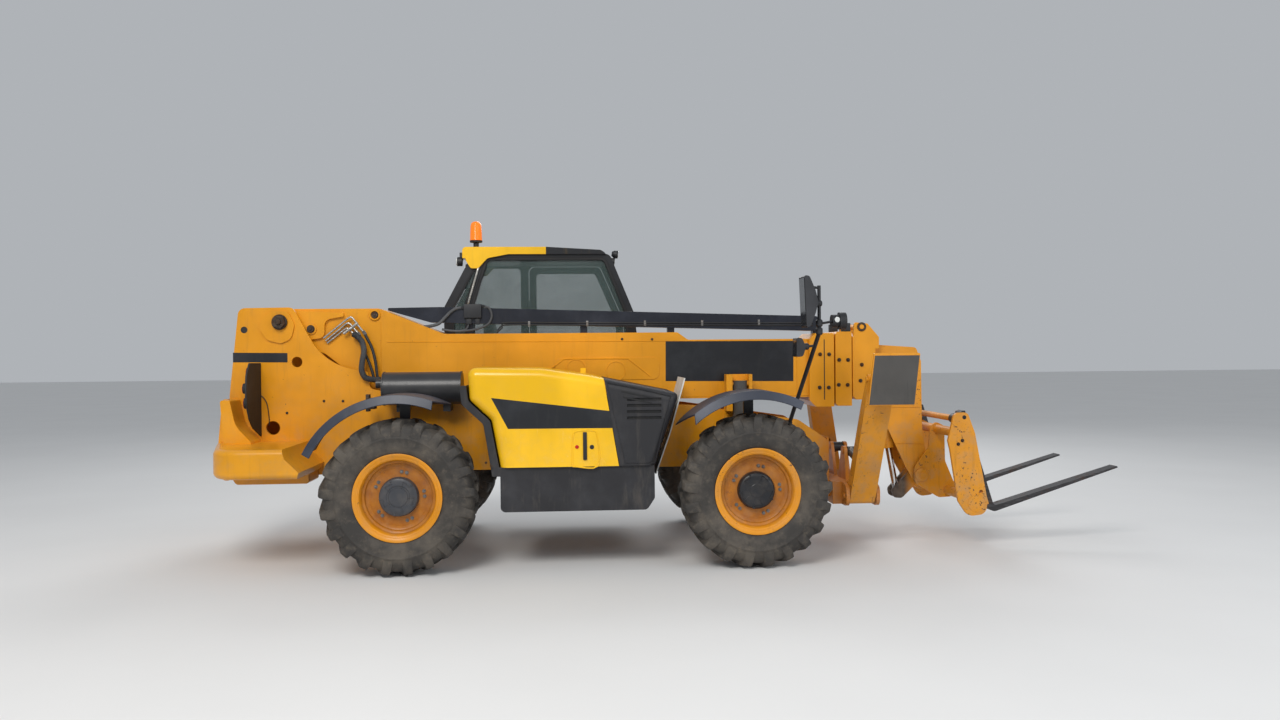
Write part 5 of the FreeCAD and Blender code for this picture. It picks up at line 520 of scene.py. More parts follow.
# a Geometry Nodes group that puts a piece on every vertex of a mesh, turned along its normal
def repeater(name):
    group = bpy.data.node_groups.new(name, "GeometryNodeTree")
    face = group.interface
    face.new_socket("Geometry", in_out="INPUT", socket_type="NodeSocketGeometry")
    face.new_socket("Copied piece", in_out="INPUT", socket_type="NodeSocketObject")
    face.new_socket("Copy scale", in_out="INPUT", socket_type="NodeSocketFloat")
    face.new_socket("Look", in_out="INPUT", socket_type="NodeSocketMaterial")
    face.new_socket("Geometry", in_out="OUTPUT", socket_type="NodeSocketGeometry")
    nodes, links = group.nodes, group.links
    into, out = nodes.new("NodeGroupInput"), nodes.new("NodeGroupOutput")
    info = nodes.new("GeometryNodeObjectInfo")
    put = nodes.new("GeometryNodeInstanceOnPoints")
    normal = nodes.new("GeometryNodeInputNamedAttribute")
    normal.data_type = "FLOAT_VECTOR"
    normal.inputs["Name"].default_value = "facing"
    turn = nodes.new("FunctionNodeAlignRotationToVector")
    turn.axis = "Z"
    real = nodes.new("GeometryNodeRealizeInstances")
    coat = nodes.new("GeometryNodeSetMaterial")
    links.new(into.outputs["Geometry"], put.inputs["Points"])
    links.new(into.outputs["Copied piece"], info.inputs["Object"])
    links.new(info.outputs["Geometry"], put.inputs["Instance"])
    links.new(normal.outputs["Attribute"], turn.inputs["Vector"])
    links.new(turn.outputs["Rotation"], put.inputs["Rotation"])
    links.new(into.outputs["Copy scale"], put.inputs["Scale"])
    links.new(put.outputs["Instances"], real.inputs["Geometry"])
    links.new(real.outputs["Geometry"], coat.inputs["Geometry"])
    links.new(into.outputs["Look"], coat.inputs["Material"])
    links.new(coat.outputs["Geometry"], out.inputs["Geometry"])
    return group


repeats = repeater("repeatOnPoints")


# a hexagon head on a washer, one metre across its washer, pointing up
def boltMesh():
    return joined(
        spun([(0, 0.5), (0.09, 0.5), (0.09, 0.0)], (0, 0, 0), (0, 0, 1), 20),
        rounded(spun([(0.08, 0.40), (0.42, 0.40), (0.42, 0.0)], (0, 0, 0), (0, 0, 1), 6), 0.03, 1),
        spun([(0.40, 0.20), (0.60, 0.20), (0.62, 0.17), (0.62, 0.0)], (0, 0, 0), (0, 0, 1), 12),
    )


# bolts at (point, facing) places, as one plain mesh
def bolts(name, places, size, look, body, slot=None):
    data = bpy.data.meshes.new(name + "Points")
    data.from_pydata([tuple(point) for point, direction in places], [], [])
    normals = data.attributes.new("facing", "FLOAT_VECTOR", "POINT")
    for index, (point, direction) in enumerate(places):
        normals.data[index].vector = Vector(direction)
    source = bpy.data.meshes.new(name + "Source")
    bolt = boltMesh()
    bolt.to_mesh(source)
    bolt.free()
    sourceObject = bpy.data.objects.new(name + "Source", source)
    holder = bpy.data.objects.new(name + "Holder", data)
    bpy.context.scene.collection.objects.link(holder)
    modifier = holder.modifiers.new("repeat", "NODES")
    modifier.node_group = repeats
    values = {"Copied piece": sourceObject, "Copy scale": size, "Look": looks[look]}
    for socket in repeats.interface.items_tree:
        if socket.in_out == "INPUT" and socket.name in values:
            modifier[socket.identifier] = values[socket.name]
    bpy.context.view_layer.update()
    graph = bpy.context.evaluated_depsgraph_get()
    mesh = bpy.data.meshes.new_from_object(holder.evaluated_get(graph))
    holder.modifiers.clear()
    bpy.data.objects.remove(holder)
    bpy.data.objects.remove(sourceObject)
    piece(name, mesh, look, body, 35, slot)


# Tyres: a smooth carcass with raised rings, and swept lugs on both shoulders.

tyre = {
    "radius": 0.600, "bead": 0.3003, "lip": 0.3375, "ring": 0.455, "tread": 0.566,
    "lugs": 21, "lugEdge": 0.0045,
    "lugSections": (  # across, foot radius, top radius, half width of foot, half width of top, turn back
        (-0.004, 0.560, 0.5945, 0.034, 0.026, 0.0), (0.060, 0.560, 0.5945, 0.035, 0.027, 0.034),
        (0.120, 0.552, 0.5935, 0.037, 0.028, 0.062), (0.165, 0.530, 0.588, 0.040, 0.029, 0.080),
        (0.186, 0.505, 0.575, 0.042, 0.030, 0.088), (0.1985, 0.478, 0.545, 0.040, 0.032, 0.092),
        (0.1990, 0.470, 0.500, 0.036, 0.030, 0.093),
    ),
}


def tyreMesh(centre):
    wall = [
        (0.162, tyre["bead"]), (0.162, tyre["lip"]), (0.176, 0.350), (0.188, 0.380), (0.1955, 0.420),
        (0.198, tyre["ring"] - 0.006), (0.1995, tyre["ring"] - 0.003), (0.1995, tyre["ring"] + 0.003),
        (0.198, tyre["ring"] + 0.006), (0.196, 0.480), (0.188, 0.515), (0.172, 0.543), (0.145, 0.559),
        (0.10, tyre["tread"]), (0.05, tyre["tread"] + 0.003),
    ]
    carcass = spun(wall + [(-along, radius) for along, radius in reversed(wall)], centre, (0, 1, 0), 96)
    lugs = bmesh.new()
    for hand, half in ((1, 0.0), (-1, 0.5)):  # the far shoulder's lugs stand half a pitch on
        for index in range(tyre["lugs"]):
            turn = 2 * math.pi * (index + half) / tyre["lugs"]
            rings = []
            for across, foot, top, footHalf, topHalf, back in tyre["lugSections"]:
                rings.append([])
                for radius, shift in ((foot, -footHalf), (top, -topHalf), (top, topHalf), (foot, footHalf)):
                    angle = turn - back / tyre["radius"] + shift / radius
                    rings[-1].append(lugs.verts.new((
                        centre[0] + radius * math.sin(angle), centre[1] + hand * across,
                        centre[2] + radius * math.cos(angle),
                    )))
            for one, two in zip(rings, rings[1:]):
                for step in range(3):
                    lugs.faces.new((one[step], one[step + 1], two[step + 1], two[step]))
            lugs.faces.new(rings[0])
            lugs.faces.new(rings[-1])
    bmesh.ops.recalc_face_normals(lugs, faces=lugs.faces)
    rounded(lugs, tyre["lugEdge"], 2, 24)
    return joined(carcass, lugs)


# Rims, hubs and nuts. The profiles run (out from the wheel's middle, radius).

rimProfile = (
    (-0.173, 0.3365), (-0.163, 0.3368), (-0.1625, 0.300), (0.1625, 0.300), (0.163, 0.3300), (0.1665, 0.3368),
    (0.1715, 0.3368), (0.173, 0.333), (0.172, 0.325), (0.166, 0.312), (0.160, 0.300), (0.156, 0.290),
    (0.146, 0.283), (0.118, 0.279), (0.104, 0.274), (0.100, 0.266), (0.098, 0.258), (0.088, 0.254),
    (0.080, 0.252), (0.076, 0.246), (0.0745, 0.232), (0.073, 0.226), (0.0745, 0.221), (0.075, 0.205),
    (0.0748, 0.148), (0.058, 0.148), (0.058, 0.213), (0.060, 0.240), (0.06, 0.262), (0.0, 0.282),
    (-0.13, 0.288), (-0.165, 0.310), (-0.173, 0.3365),
)
hub = {
    "front": (
        (0.041, 0.0), (0.041, 0.150), (0.072, 0.150), (0.076, 0.147), (0.112, 0.143), (0.120, 0.139),
        (0.128, 0.128), (0.131, 0.100), (0.131, 0.056), (0.1335, 0.052), (0.1335, 0.0),
    ),
    "rear": (
        (0.041, 0.0), (0.041, 0.154), (0.072, 0.154), (0.076, 0.151), (0.108, 0.148), (0.122, 0.142),
        (0.129, 0.130), (0.1305, 0.090), (0.1265, 0.086), (0.1265, 0.074), (0.1315, 0.070), (0.1335, 0.0),
    ),
    "ribs": 5, "ribTurn": 20, "ribNear": 0.068, "ribFar": 0.124, "ribFace": 0.1305, "ribRadius": 0.0035,
    "ribHook": 0.5, "ribHookShare": 0.93,
    "bolts": 5, "boltTurn": 48, "boltCircle": 0.134, "boltFace": 0.1215, "bolt": 0.022,
}
wheel = {
    "out": 1.020, "height": 0.600,
    "nutPairs": 5, "nutTurn": 12, "nutSpread": 6, "nutCircle": 0.191, "nutFace": 0.0748, "nut": 0.028,
    "looks": {"front": ("wornRim", "hubDark"), "rear": ("rim", "hub")},
}


def spoke(angle, radius):  # a point of a circle in the plane of the wheel
    return Vector((math.sin(angle) * radius, 0, math.cos(angle) * radius))


def outwards(profile, sign):
    return [(sign * along, radius) for along, radius in profile]


def turns(count, first):  # the angles of a ring of equal parts
    return [math.radians(360 / count * index + first) for index in range(count)]


def hubMesh(centre, sign, axle):
    drum = spun(outwards(hub[axle], sign), centre, (0, 1, 0), 72)
    face = centre + Vector((0, sign * hub["ribFace"], 0))
    ribs = []
    for angle in turns(hub["ribs"], hub["ribTurn"]):
        inner, outer = spoke(angle, hub["ribNear"]), spoke(angle, hub["ribFar"])
        bend = spoke(angle + hub["ribHook"], hub["ribFar"] * hub["ribHookShare"])
        points = [face + inner, face + (inner + outer) / 2, face + outer, face + bend]
        ribs.append(tube(points, hub["ribRadius"], 6, 4))
    return joined(drum, *ribs)


def makeWheels():
    for axle, x in axles:
        rimLook, hubLook = wheel["looks"][axle]
        for side, sign in sides:
            name = f"{axle}_{side}"
            body = f"{name}_wheel"
            centre = at(x, sign * wheel["out"], wheel["height"])
            tyrePiece = piece(f"{name}_tyre_tread", tyreMesh(centre), "tyre", body, 32)
            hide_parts(f"tyre_{name}")
            rimMesh = spun(outwards(rimProfile, sign), centre, (0, 1, 0), 96)
            rim = piece(f"{name}_rim_disc", rimMesh, rimLook, body, 30)
            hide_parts(f"rim_{name}")
            piece(f"{name}_hub_drum", hubMesh(centre, sign, axle), hubLook, body, 30)
            face = centre + Vector((0, sign * wheel["nutFace"], 0))
            nuts = [
                (face + spoke(angle, wheel["nutCircle"]), (0, sign, 0))
                for spread in (-wheel["nutSpread"], wheel["nutSpread"])
                for angle in turns(wheel["nutPairs"], wheel["nutTurn"] + spread)
            ]
            bolts(f"{name}_wheel_nuts", nuts, wheel["nut"], "steel", body)
            face = centre + Vector((0, sign * hub["boltFace"], 0))
            heads = [
                (face + spoke(angle, hub["boltCircle"]), (0, sign, 0))
                for angle in turns(hub["bolts"], hub["boltTurn"])
            ]
            bolts(f"{name}_hub_bolts", heads, hub["bolt"], hubLook, body)
    print("wheels")


# Small pieces that several parts of the machine share. Places are counted from the rear axle.

def pipe(points, radius, sides=10, smoothing=8):  # a tube through (x, y, z) places
    return tube([at(*point) for point in points], radius, sides, smoothing)


def sheet(outline, sign, inner, outer, round=0.0):  # a flat sheet on one side, from (x, z) corners
    return slab([(x + rearAxleX, z) for x, z in outline], *sorted((sign * inner, sign * outer)), round)


def facing(spots, out, signs=(1, -1)):  # (x, z) spots on the side faces, as places for bolts()
    return [(at(x, sign * out, z), (0, sign, 0)) for sign in signs for x, z in spots]


def turnedPair(profile, spot, segments):  # the same turned piece on the left and the right side
    x, y, z = spot
    return joined(*(spun(profile, at(x, sign * y, z), (0, sign, 0), segments) for side, sign in sides))


def nut(spot, sign, size):  # a large hexagon nut on its washer, with the end of the pin in the middle
    washer = [(0.0, 1.16), (0.16, 1.12), (0.16, 0.0)]
    hexagon = [(0.10, 1.0), (0.62, 1.0), (0.62, 0.0)]
    pinEnd = [(0.60, 0.42), (0.86, 0.40), (0.92, 0.3), (0.92, 0.0)]
    turned = [
        spun([(size * along, size * radius) for along, radius in profile], spot, (0, sign, 0), segments)
        for profile, segments in ((washer, 32), (hexagon, 6), (pinEnd, 20))
    ]
    rounded(turned[1], size * 0.09, 2)
    return joined(*turned)


# Outer boom tube: bare panels, raised outline, weld seams, pins and bolts.

boom = {
    "side": 0.220, "panelFaces": (0.2195, 0.2215), "outlineOut": 0.2265, "outlineRadius": 0.005,
    "panel": ((2.136, 1.784), (3.258, 1.775), (3.255, 1.421), (2.133, 1.433)),
    "outline": (
        (1.119, 1.539), (1.180, 1.574), (1.238, 1.616), (1.275, 1.631), (1.500, 1.632), (1.780, 1.630),
        (1.822, 1.616), (1.900, 1.556), (1.997, 1.478),
    ),
    "rings": ((1.359, 1.545), (1.703, 1.525)), "ringOut": 0.226,
    "ringProfile": ((-0.001, 0.089), (0.0035, 0.087), (0.0035, 0.078), (-0.001, 0.076)),
    "seams": (  # start, end and radius of each weld
        ((-0.24, 1.790), (3.39, 1.775), 0.0035), ((-0.10, 1.296), (3.39, 1.296), 0.0035),
        ((3.287, 1.300), (3.287, 1.790), 0.0035), ((-0.290, 1.500), (-0.290, 1.955), 0.0025),
    ),
    "seamFace": 0.2205,
    "humpPin": (-0.339, 0.2205, 2.020), "humpNut": 0.026, "humpNutLift": 0.004,
    "humpRing": (
        (-0.004, 0.050), (0.012, 0.048), (0.016, 0.044), (0.016, 0.034), (0.004, 0.033), (0.004, 0.0),
    ),
    "bracketPin": (-0.863, 0.2605, 1.904), "bracketNut": 0.029,
    "topBolts": ((1.758, 1.800), (2.018, 1.796)), "topBolt": 0.022,
}


def makeBoomSides():
    face = boom["seamFace"]
    for side, sign in sides:
        panel = sheet(boom["panel"], sign, *boom["panelFaces"])
        piece(f"boom_bare_panel_{side}", panel, "decal", "boom_base")
        corners = [(x, sign * boom["outlineOut"], z) for x, z in boom["outline"]]
        bead = pipe(corners, boom["outlineRadius"], 6, 5)
        centres = [at(x, sign * boom["ringOut"], z) for x, z in boom["rings"]]
        rings = [spun(boom["ringProfile"], centre, (0, sign, 0), 40) for centre in centres]
        piece(f"boom_raised_outline_{side}", joined(bead, *rings), "boom", "boom_base")
        seams = [
            pipe([(start[0], sign * face, start[1]), (end[0], sign * face, end[1])], radius, 6, 1)
            for start, end, radius in boom["seams"]
        ]
        piece(f"boom_weld_seams_{side}", joined(*seams), "boom", "boom_base")
        x, y, z = boom["humpPin"]
        ring = spun(boom["humpRing"], at(x, sign * y, z), (0, sign, 0), 36)
        piece(f"boom_pin_ring_{side}", ring, "boom", "boom_base")
        nuts = [nut(at(x, sign * (y + boom["humpNutLift"]), z), sign, boom["humpNut"])]
        x, y, z = boom["bracketPin"]
        nuts.append(nut(at(x, sign * y, z), sign, boom["bracketNut"]))
        piece(f"boom_pin_nuts_{side}", joined(*nuts), "rusty", "boom_base", 30)
        spots = facing(boom["topBolts"], boom["side"], (sign,))
        bolts(f"boom_top_bolts_{side}", spots, boom["topBolt"], "rusty", "boom_base")
    print("boom sides")


# Stage collars: the gap in the outer one, wear blocks, the head bar's end rings and the bolts.

collar = {
    "gap": ((3.519, 1.256), (3.527, 1.256), (3.527, 1.782), (3.519, 1.782)), "gapFaces": (0.2515, 0.2532),
    "wearLow": (3.690, 1.848), "wearHigh": (3.764, 1.925), "wearY": 0.205, "wearHalf": 0.030,
    "wearRound": 0.006,
    "barEnd": (3.861, 0.2362, 1.891),
    "barRing": ((0.0, 0.040), (0.006, 0.040), (0.0095, 0.036), (0.0095, 0.0215), (0.0, 0.0215)),
    "bolts": (  # name, body, half width, (x, z) of its bolts
        ("outer", "boom_base", 0.2525, ((3.486, 1.653), (3.566, 1.652), (3.480, 1.363), (3.561, 1.362))),
        ("second", "boom_middle", 0.2525, ((3.655, 1.603), (3.734, 1.602), (3.650, 1.385), (3.729, 1.383))),
        ("third", "boom_inner", 0.2365, ((3.861, 1.559), (3.849, 1.418))),
    ),
    "bolt": 0.034,
}


def makeCollars():
    (lowX, lowZ), (highX, highZ), half = collar["wearLow"], collar["wearHigh"], collar["wearHalf"]
    for side, sign in sides:
        # painted shade: a thin black sheet in the gap of the outer collar
        gap = sheet(collar["gap"], sign, *collar["gapFaces"])
        piece(f"collar_gap_{side}", gap, "seal", "boom_base")
        y = sign * collar["wearY"]
        low, high = at(lowX, y - half, lowZ), at(highX, y + half, highZ)
        wearBlock = block(low, high, collar["wearRound"])
        piece(f"collar_wear_block_{side}", wearBlock, "plastic", "boom_middle")
        x, y, z = collar["barEnd"]
        ring = spun(collar["barRing"], at(x, sign * y, z), (0, sign, 0), 40)
        piece(f"head_bar_ring_{side}", ring, "rusty", "boom_inner")
    for name, body, half, spots in collar["bolts"]:
        bolts(f"collar_bolts_{name}", facing(spots, half), collar["bolt"], "rusty", body, slot="body_paint")
    print("collars")


# Nose and fork frame: weld seams, the pivot's boss, and the frame's ring, hole and bolts.

nose = {
    "seams": (((4.120, 1.180), (4.410, 1.176)), ((4.181, 0.856), (4.440, 0.850))), "side": 0.1575,
    "seamRadius": 0.004,
    "bolts": ((4.09, 1.25),), "boltFace": 0.1645, "bolt": 0.060,
    "pivot": (4.406, 0.1965, 0.576),
    "boss": (
        (0.0, 0.062), (0.010, 0.060), (0.0135, 0.055), (0.0135, 0.027), (0.009, 0.026), (0.009, 0.021),
        (0.017, 0.020), (0.017, 0.0),
    ),
}
forkFrame = {
    "side": 0.6,
    "ring": (4.738, 0.384), "ringProfile": ((-0.001, 0.080), (0.003, 0.079), (0.003, 0.073), (-0.001, 0.072)),
    "hole": (4.632, 1.110), "holeProfile": ((0.0, 0.0175), (0.001, 0.0170), (0.001, 0.0)),
    "bolts": ((4.578, 0.884), (4.614, 0.914)), "bolt": 0.030,
}


def makeForkEnd():
    seams = [
        pipe([(x, sign * nose["side"], z) for x, z in seam], nose["seamRadius"], 6, 1)
        for seam in nose["seams"] for side, sign in sides
    ]
    piece("nose_weld_seams", joined(*seams), "worn", "boom_head")
    noseBolts = facing(nose["bolts"], nose["boltFace"])
    bolts("nose_pin_bolts", noseBolts, nose["bolt"], "steel", "boom_head")
    bosses = turnedPair(nose["boss"], nose["pivot"], 44)
    piece("nose_pin_bosses", bosses, "worn", "carriage")
    side = forkFrame["side"]
    (ringX, ringZ), (holeX, holeZ) = forkFrame["ring"], forkFrame["hole"]
    rings = turnedPair(forkFrame["ringProfile"], (ringX, side, ringZ), 44)
    piece("fork_frame_rings", rings, "worn", "carriage")
    # painted shade: a thin black disc where the frame has a hole
    holes = turnedPair(forkFrame["holeProfile"], (holeX, side, holeZ), 28)
    piece("fork_frame_holes", holes, "seal", "carriage")
    frameBolts = facing(forkFrame["bolts"], side)
    bolts("fork_frame_bolts", frameBolts, forkFrame["bolt"], "rusty", "carriage")
    print("fork end")


# Tower: main pin, the plugged eye, the bare strip and the small fixings.

tower = {
    "face": 0.300,
    "pin": (-1.100, 0.3272, 1.961), "nut": 0.056,
    "strip": ((-1.488, 1.630), (-1.045, 1.626), (-1.045, 1.704), (-1.488, 1.710)),
    "stripFaces": (0.299, 0.3015), "wireRadius": 0.004,
    "eye": (-1.396, 1.899), "plug": ((-0.012, 0.0), (-0.012, 0.0282), (-0.004, 0.0282), (-0.004, 0.0)),
    "fixings": ((-0.750, 1.299), (-0.594, 1.297), (-1.054, 1.203)), "fixing": 0.022,
    "wire": (
        (-1.262, 0.306, 1.350), (-1.236, 0.306, 1.325), (-1.212, 0.306, 1.270), (-1.198, 0.306, 1.159),
        (-1.200, 0.302, 1.100),
    ),
}


def makeTower():
    face = tower["face"]
    for side, sign in sides:
        x, y, z = tower["pin"]
        pinNut = nut(at(x, sign * y, z), sign, tower["nut"])
        piece(f"tower_pin_nut_{side}", pinNut, "rusty", "chassis", 30)
        strip = sheet(tower["strip"], sign, *tower["stripFaces"])
        piece(f"tower_bare_strip_{side}", strip, "decal", "chassis")
        x, z = tower["eye"]
        plug = spun(tower["plug"], at(x, sign * face, z), (0, sign, 0), 32)
        piece(f"tower_eye_plug_{side}", plug, "seal", "chassis")
        spots = facing(tower["fixings"], face, (sign,))
        bolts(f"tower_fixings_{side}", spots, tower["fixing"], "rusty", "chassis")
        wire = pipe([(x, sign * y, z) for x, y, z in tower["wire"]], tower["wireRadius"], 6, 6)
        piece(f"tail_lamp_wire_{side}", wire, "hose", "chassis")
    print("tower")


# Hood, on the right side only: bare panel, latch, slits and the grille's moulding.

hood = {
    "face": 1.1215,
    "panel": ((0.703, 1.345), (1.612, 1.234), (1.634, 1.102), (0.830, 1.106)), "panelDepth": 0.0035,
    "panelRound": 0.0008,
    "latch": (1.4175, 0.947), "latchSize": (0.0985, 0.136), "latchRadius": 0.006,
    "latchBead": ((-1, -1), (1, -1), (0.96, 0.7), (0.62, 1), (-0.5, 1), (-0.92, 0.7)),  # shares of its size
    "handle": ((-0.015, -0.012, -0.088), (0.015, 0.004, 0.127)), "handleRound": 0.006,
    "lock": (1.471, 0.958), "beadSunk": 0.001, "lockSunk": 0.002,
    "lockProfile": ((0, 0.017), (0.006, 0.016), (0.007, 0.011), (0.004, 0.010), (0.004, 0.0)),
    "button": (1.356, 0.960), "buttonProfile": ((0, 0.015), (0.004, 0.014), (0.006, 0.0)),
    "backing": ((1.700, 1.120), (2.030, 1.120), (2.060, 1.330), (1.690, 1.400)),
    "backingFaces": (1.085, 1.108),
    "slit": ((1.700, 1.392), (1.930, 1.340), (1.928, 1.328), (1.704, 1.376)),
    "slits": 2, "slitStep": 0.044, "slitShift": (0.012, 0.008, 0.008, 0.012), "slitDepth": 0.004,
    "slitRound": 0.0015,
    "moulding": (
        (1.590, 1.458), (1.840, 1.408), (2.085, 1.347), (2.020, 1.080), (1.958, 0.828), (1.728, 0.826),
        (1.660, 1.140),
    ),
    "mouldingOut": 1.1205, "mouldingRadius": 0.004,
    "footBolts": ((0.660, 0.850), (0.700, 0.825)), "footBolt": 0.020, "footOut": 1.1195,
}


def makeHood():
    face = hood["face"]
    panel = sheet(hood["panel"], -1, face - hood["panelDepth"], face, hood["panelRound"])
    piece("hood_bare_panel", panel, "decal", "hood")
    (x, z), (half, high) = hood["latch"], hood["latchSize"]
    points = [(x + half * a, hood["beadSunk"] - face, z + high * b) for a, b in hood["latchBead"]]
    piece("hood_latch_bead", pipe(points + points[:1], hood["latchRadius"], 6, 4), "hood", "hood")
    low, high = [at(x, -face, z) + Vector(corner) for corner in hood["handle"]]
    x, z = hood["lock"]
    lock = spun(hood["lockProfile"], at(x, hood["lockSunk"] - face, z), (0, -1, 0), 24)
    handle = joined(block(low, high, hood["handleRound"]), lock)
    piece("hood_latch_handle", handle, "plastic", "hood")
    x, z = hood["button"]
    button = spun(hood["buttonProfile"], at(x, hood["lockSunk"] - face, z), (0, -1, 0), 24)
    # the button takes the red lens look, whose glow makes it shine faintly though it is no lamp
    piece("hood_latch_button", button, "red", "hood", slot="hood_paint")
    # painted shade: a black sheet behind the grille darkens what shows through its openings
    piece("grille_backing", sheet(hood["backing"], -1, *hood["backingFaces"]), "seal", "hood")
    # painted shade: black strips, flush with the hood face, fill the slits
    slits = []
    for index in range(hood["slits"]):
        corners = zip(hood["slit"], hood["slitShift"])
        outline = [(x + index * shift, z - index * hood["slitStep"]) for (x, z), shift in corners]
        slits.append(sheet(outline, -1, face - hood["slitDepth"], face, hood["slitRound"]))
    piece("hood_slit_beads", joined(*slits), "seal", "hood")
    loop = [(x, -hood["mouldingOut"], z) for x, z in hood["moulding"]]
    piece("grille_moulding", pipe(loop + loop[:1], hood["mouldingRadius"], 6, 1), "grille", "hood")
    spots = facing(hood["footBolts"], hood["footOut"], (-1,))
    bolts("hood_foot_bolts", spots, hood["footBolt"], "rusty", "hood")
    print("hood")


# Cab: window rubbers, the strut at the side, wiper, door handle and the seat.

cab = {
    "rubbers": (  # name, body, face, half width, height, then (x, z, corner radius) round the pane
        ("right_window_seal", "chassis", 0.320, 0.016, -0.006, (
            (0.432, 1.560, 0.06), (0.436, 2.146, 0.06), (0.560, 2.546, 0.07), (1.632, 2.546, 0.07),
            (1.825, 2.056, 0.06), (1.868, 1.480, 0.06), (0.760, 1.480, 0.06),
        )),
        ("right_quarter_seal", "chassis", 0.320, 0.010, -0.005, (
            (0.262, 1.620, 0.02), (0.252, 2.096, 0.04), (0.438, 2.435, 0.014), (0.476, 2.450, 0.014),
            (0.372, 2.146, 0.04), (0.368, 1.580, 0.02),
        )),
        ("quarter_window_seal", "chassis", 1.200, 0.016, 0.006, (
            (0.262, 1.640, 0.06), (0.252, 2.100, 0.06), (0.488, 2.546, 0.06), (0.840, 2.546, 0.06),
            (0.840, 1.560, 0.06),
        )),
        ("door_window_seal", "door", 1.200, 0.015, 0.006, (
            (0.965, 1.110, 0.06), (0.965, 2.491, 0.06), (1.575, 2.491, 0.06), (1.773, 2.036, 0.06),
            (1.850, 1.300, 0.06), (1.838, 1.110, 0.06),
        )),
    ),
    "cornerSteps": 5, "rubberTop": 0.7, "handleRadius": 0.009, "handleRound": 0.003, "strutRadius": 0.010,
    "armRadius": 0.007, "bladeRadius": 0.008,
    "doorHandle": ((1.790, 1.196, 1.06), (1.790, 1.222, 1.075), (1.790, 1.222, 1.165), (1.790, 1.196, 1.18)),
    "handlePlate": ((1.760, 1.199, 1.04), (1.820, 1.206, 1.20)),
    "strut": (
        (0.392, 0.322, 2.120), (0.395, 0.304, 2.150), (0.440, 0.304, 2.305), (0.484, 0.304, 2.456),
        (0.490, 0.322, 2.478),
    ),
    "wiperArm": ((1.952, 0.76, 1.02), (1.985, 0.76, 1.06), (1.992, 0.70, 1.45)),
    "wiperBlade": ((1.990, 0.695, 1.15), (1.985, 0.690, 1.75)),
}


def windowRubber(loop, face, width, height):  # a bead that follows a loop with round corners
    points = []
    count = len(loop)
    for index, (x, z, radius) in enumerate(loop):
        corner = Vector((x, z))
        back = (Vector(loop[index - 1][:2]) - corner).normalized()
        ahead = (Vector(loop[(index + 1) % count][:2]) - corner).normalized()
        reach = radius / math.tan(back.angle(ahead) / 2)
        start, end = corner + back * reach, corner + ahead * reach
        for step in range(cab["cornerSteps"] + 1):
            t = step / cab["cornerSteps"]
            points.append((1 - t) ** 2 * start + 2 * t * (1 - t) * corner + t * t * end)
    mesh = bmesh.new()
    rings = []
    top = width * cab["rubberTop"]
    for index, point in enumerate(points):
        ahead = (points[(index + 1) % len(points)] - points[index - 1]).normalized()
        side = Vector((-ahead.y, ahead.x))
        rings.append([])
        for shift, lift in ((-width, 0), (-top, height), (top, height), (width, 0)):
            spot = point + side * shift
            rings[-1].append(mesh.verts.new(at(spot.x, face + lift, spot.y)))
    for one, two in zip(rings, rings[1:] + rings[:1]):
        for step in range(3):
            mesh.faces.new((one[step], one[step + 1], two[step + 1], two[step]))
    return mesh


def makeCab():
    for name, body, face, width, height, loop in cab["rubbers"]:
        piece(name, windowRubber(loop, face, width, height), "seal", body)
    low, high = cab["handlePlate"]
    grip = pipe(cab["doorHandle"], cab["handleRadius"], 8, 6)
    handle = joined(grip, block(at(*low), at(*high), cab["handleRound"]))
    piece("door_handle", handle, "plastic", "door")
    piece("cab_side_rail", pipe(cab["strut"], cab["strutRadius"], 8, 5), "zinc", "chassis")
    arm = pipe(cab["wiperArm"], cab["armRadius"], 6, 4)
    blade = pipe(cab["wiperBlade"], cab["bladeRadius"], 6, 1)
    piece("windscreen_wiper", joined(arm, blade), "plastic", "chassis")
    print("cab")


seat = {  # each base block: low x, high x, half width, low z, high z, rounding
    "base": (
        (0.765, 1.005, 0.165, 1.104, 1.20, 0.02), (0.79, 0.98, 0.14, 1.19, 1.31, 0.03),
        (0.70, 1.05, 0.20, 1.30, 1.335, 0.012),
    ),
    "cushionLow": (0.620, 1.332), "cushionHigh": (1.085, 1.448), "cushionHalf": 0.235, "crown": 0.018,
    "backFoot": (0.625, 1.452), "backHalf": (0.055, 0.225), "backTall": 0.56, "backLean": -9,
    "cuts": 9, "squareness": 5,
}


def cushion(low, high, crown):  # a padded block with crowned faces and pulled in sides
    mesh = block(low, high)
    bmesh.ops.subdivide_edges(mesh, edges=mesh.edges, cuts=seat["cuts"], use_grid_fill=True)
    low, high = Vector(low), Vector(high)
    middle, half = (low + high) / 2, (high - low) / 2
    power = seat["squareness"]
    for vertex in mesh.verts:
        place = [(vertex.co[i] - middle[i]) / half[i] for i in range(3)]
        length = max(abs(value) for value in place)
        if length > 0:
            scale = length / sum(abs(value) ** power for value in place) ** (1 / power)
            for i in range(3):
                vertex.co[i] = middle[i] + place[i] * half[i] * scale
        crowned = (1 - min(1, place[0] ** 2)) * (1 - min(1, place[1] ** 2))
        vertex.co.z -= 0 if place[2] < 0 else crown * (1 - crowned)
    return mesh


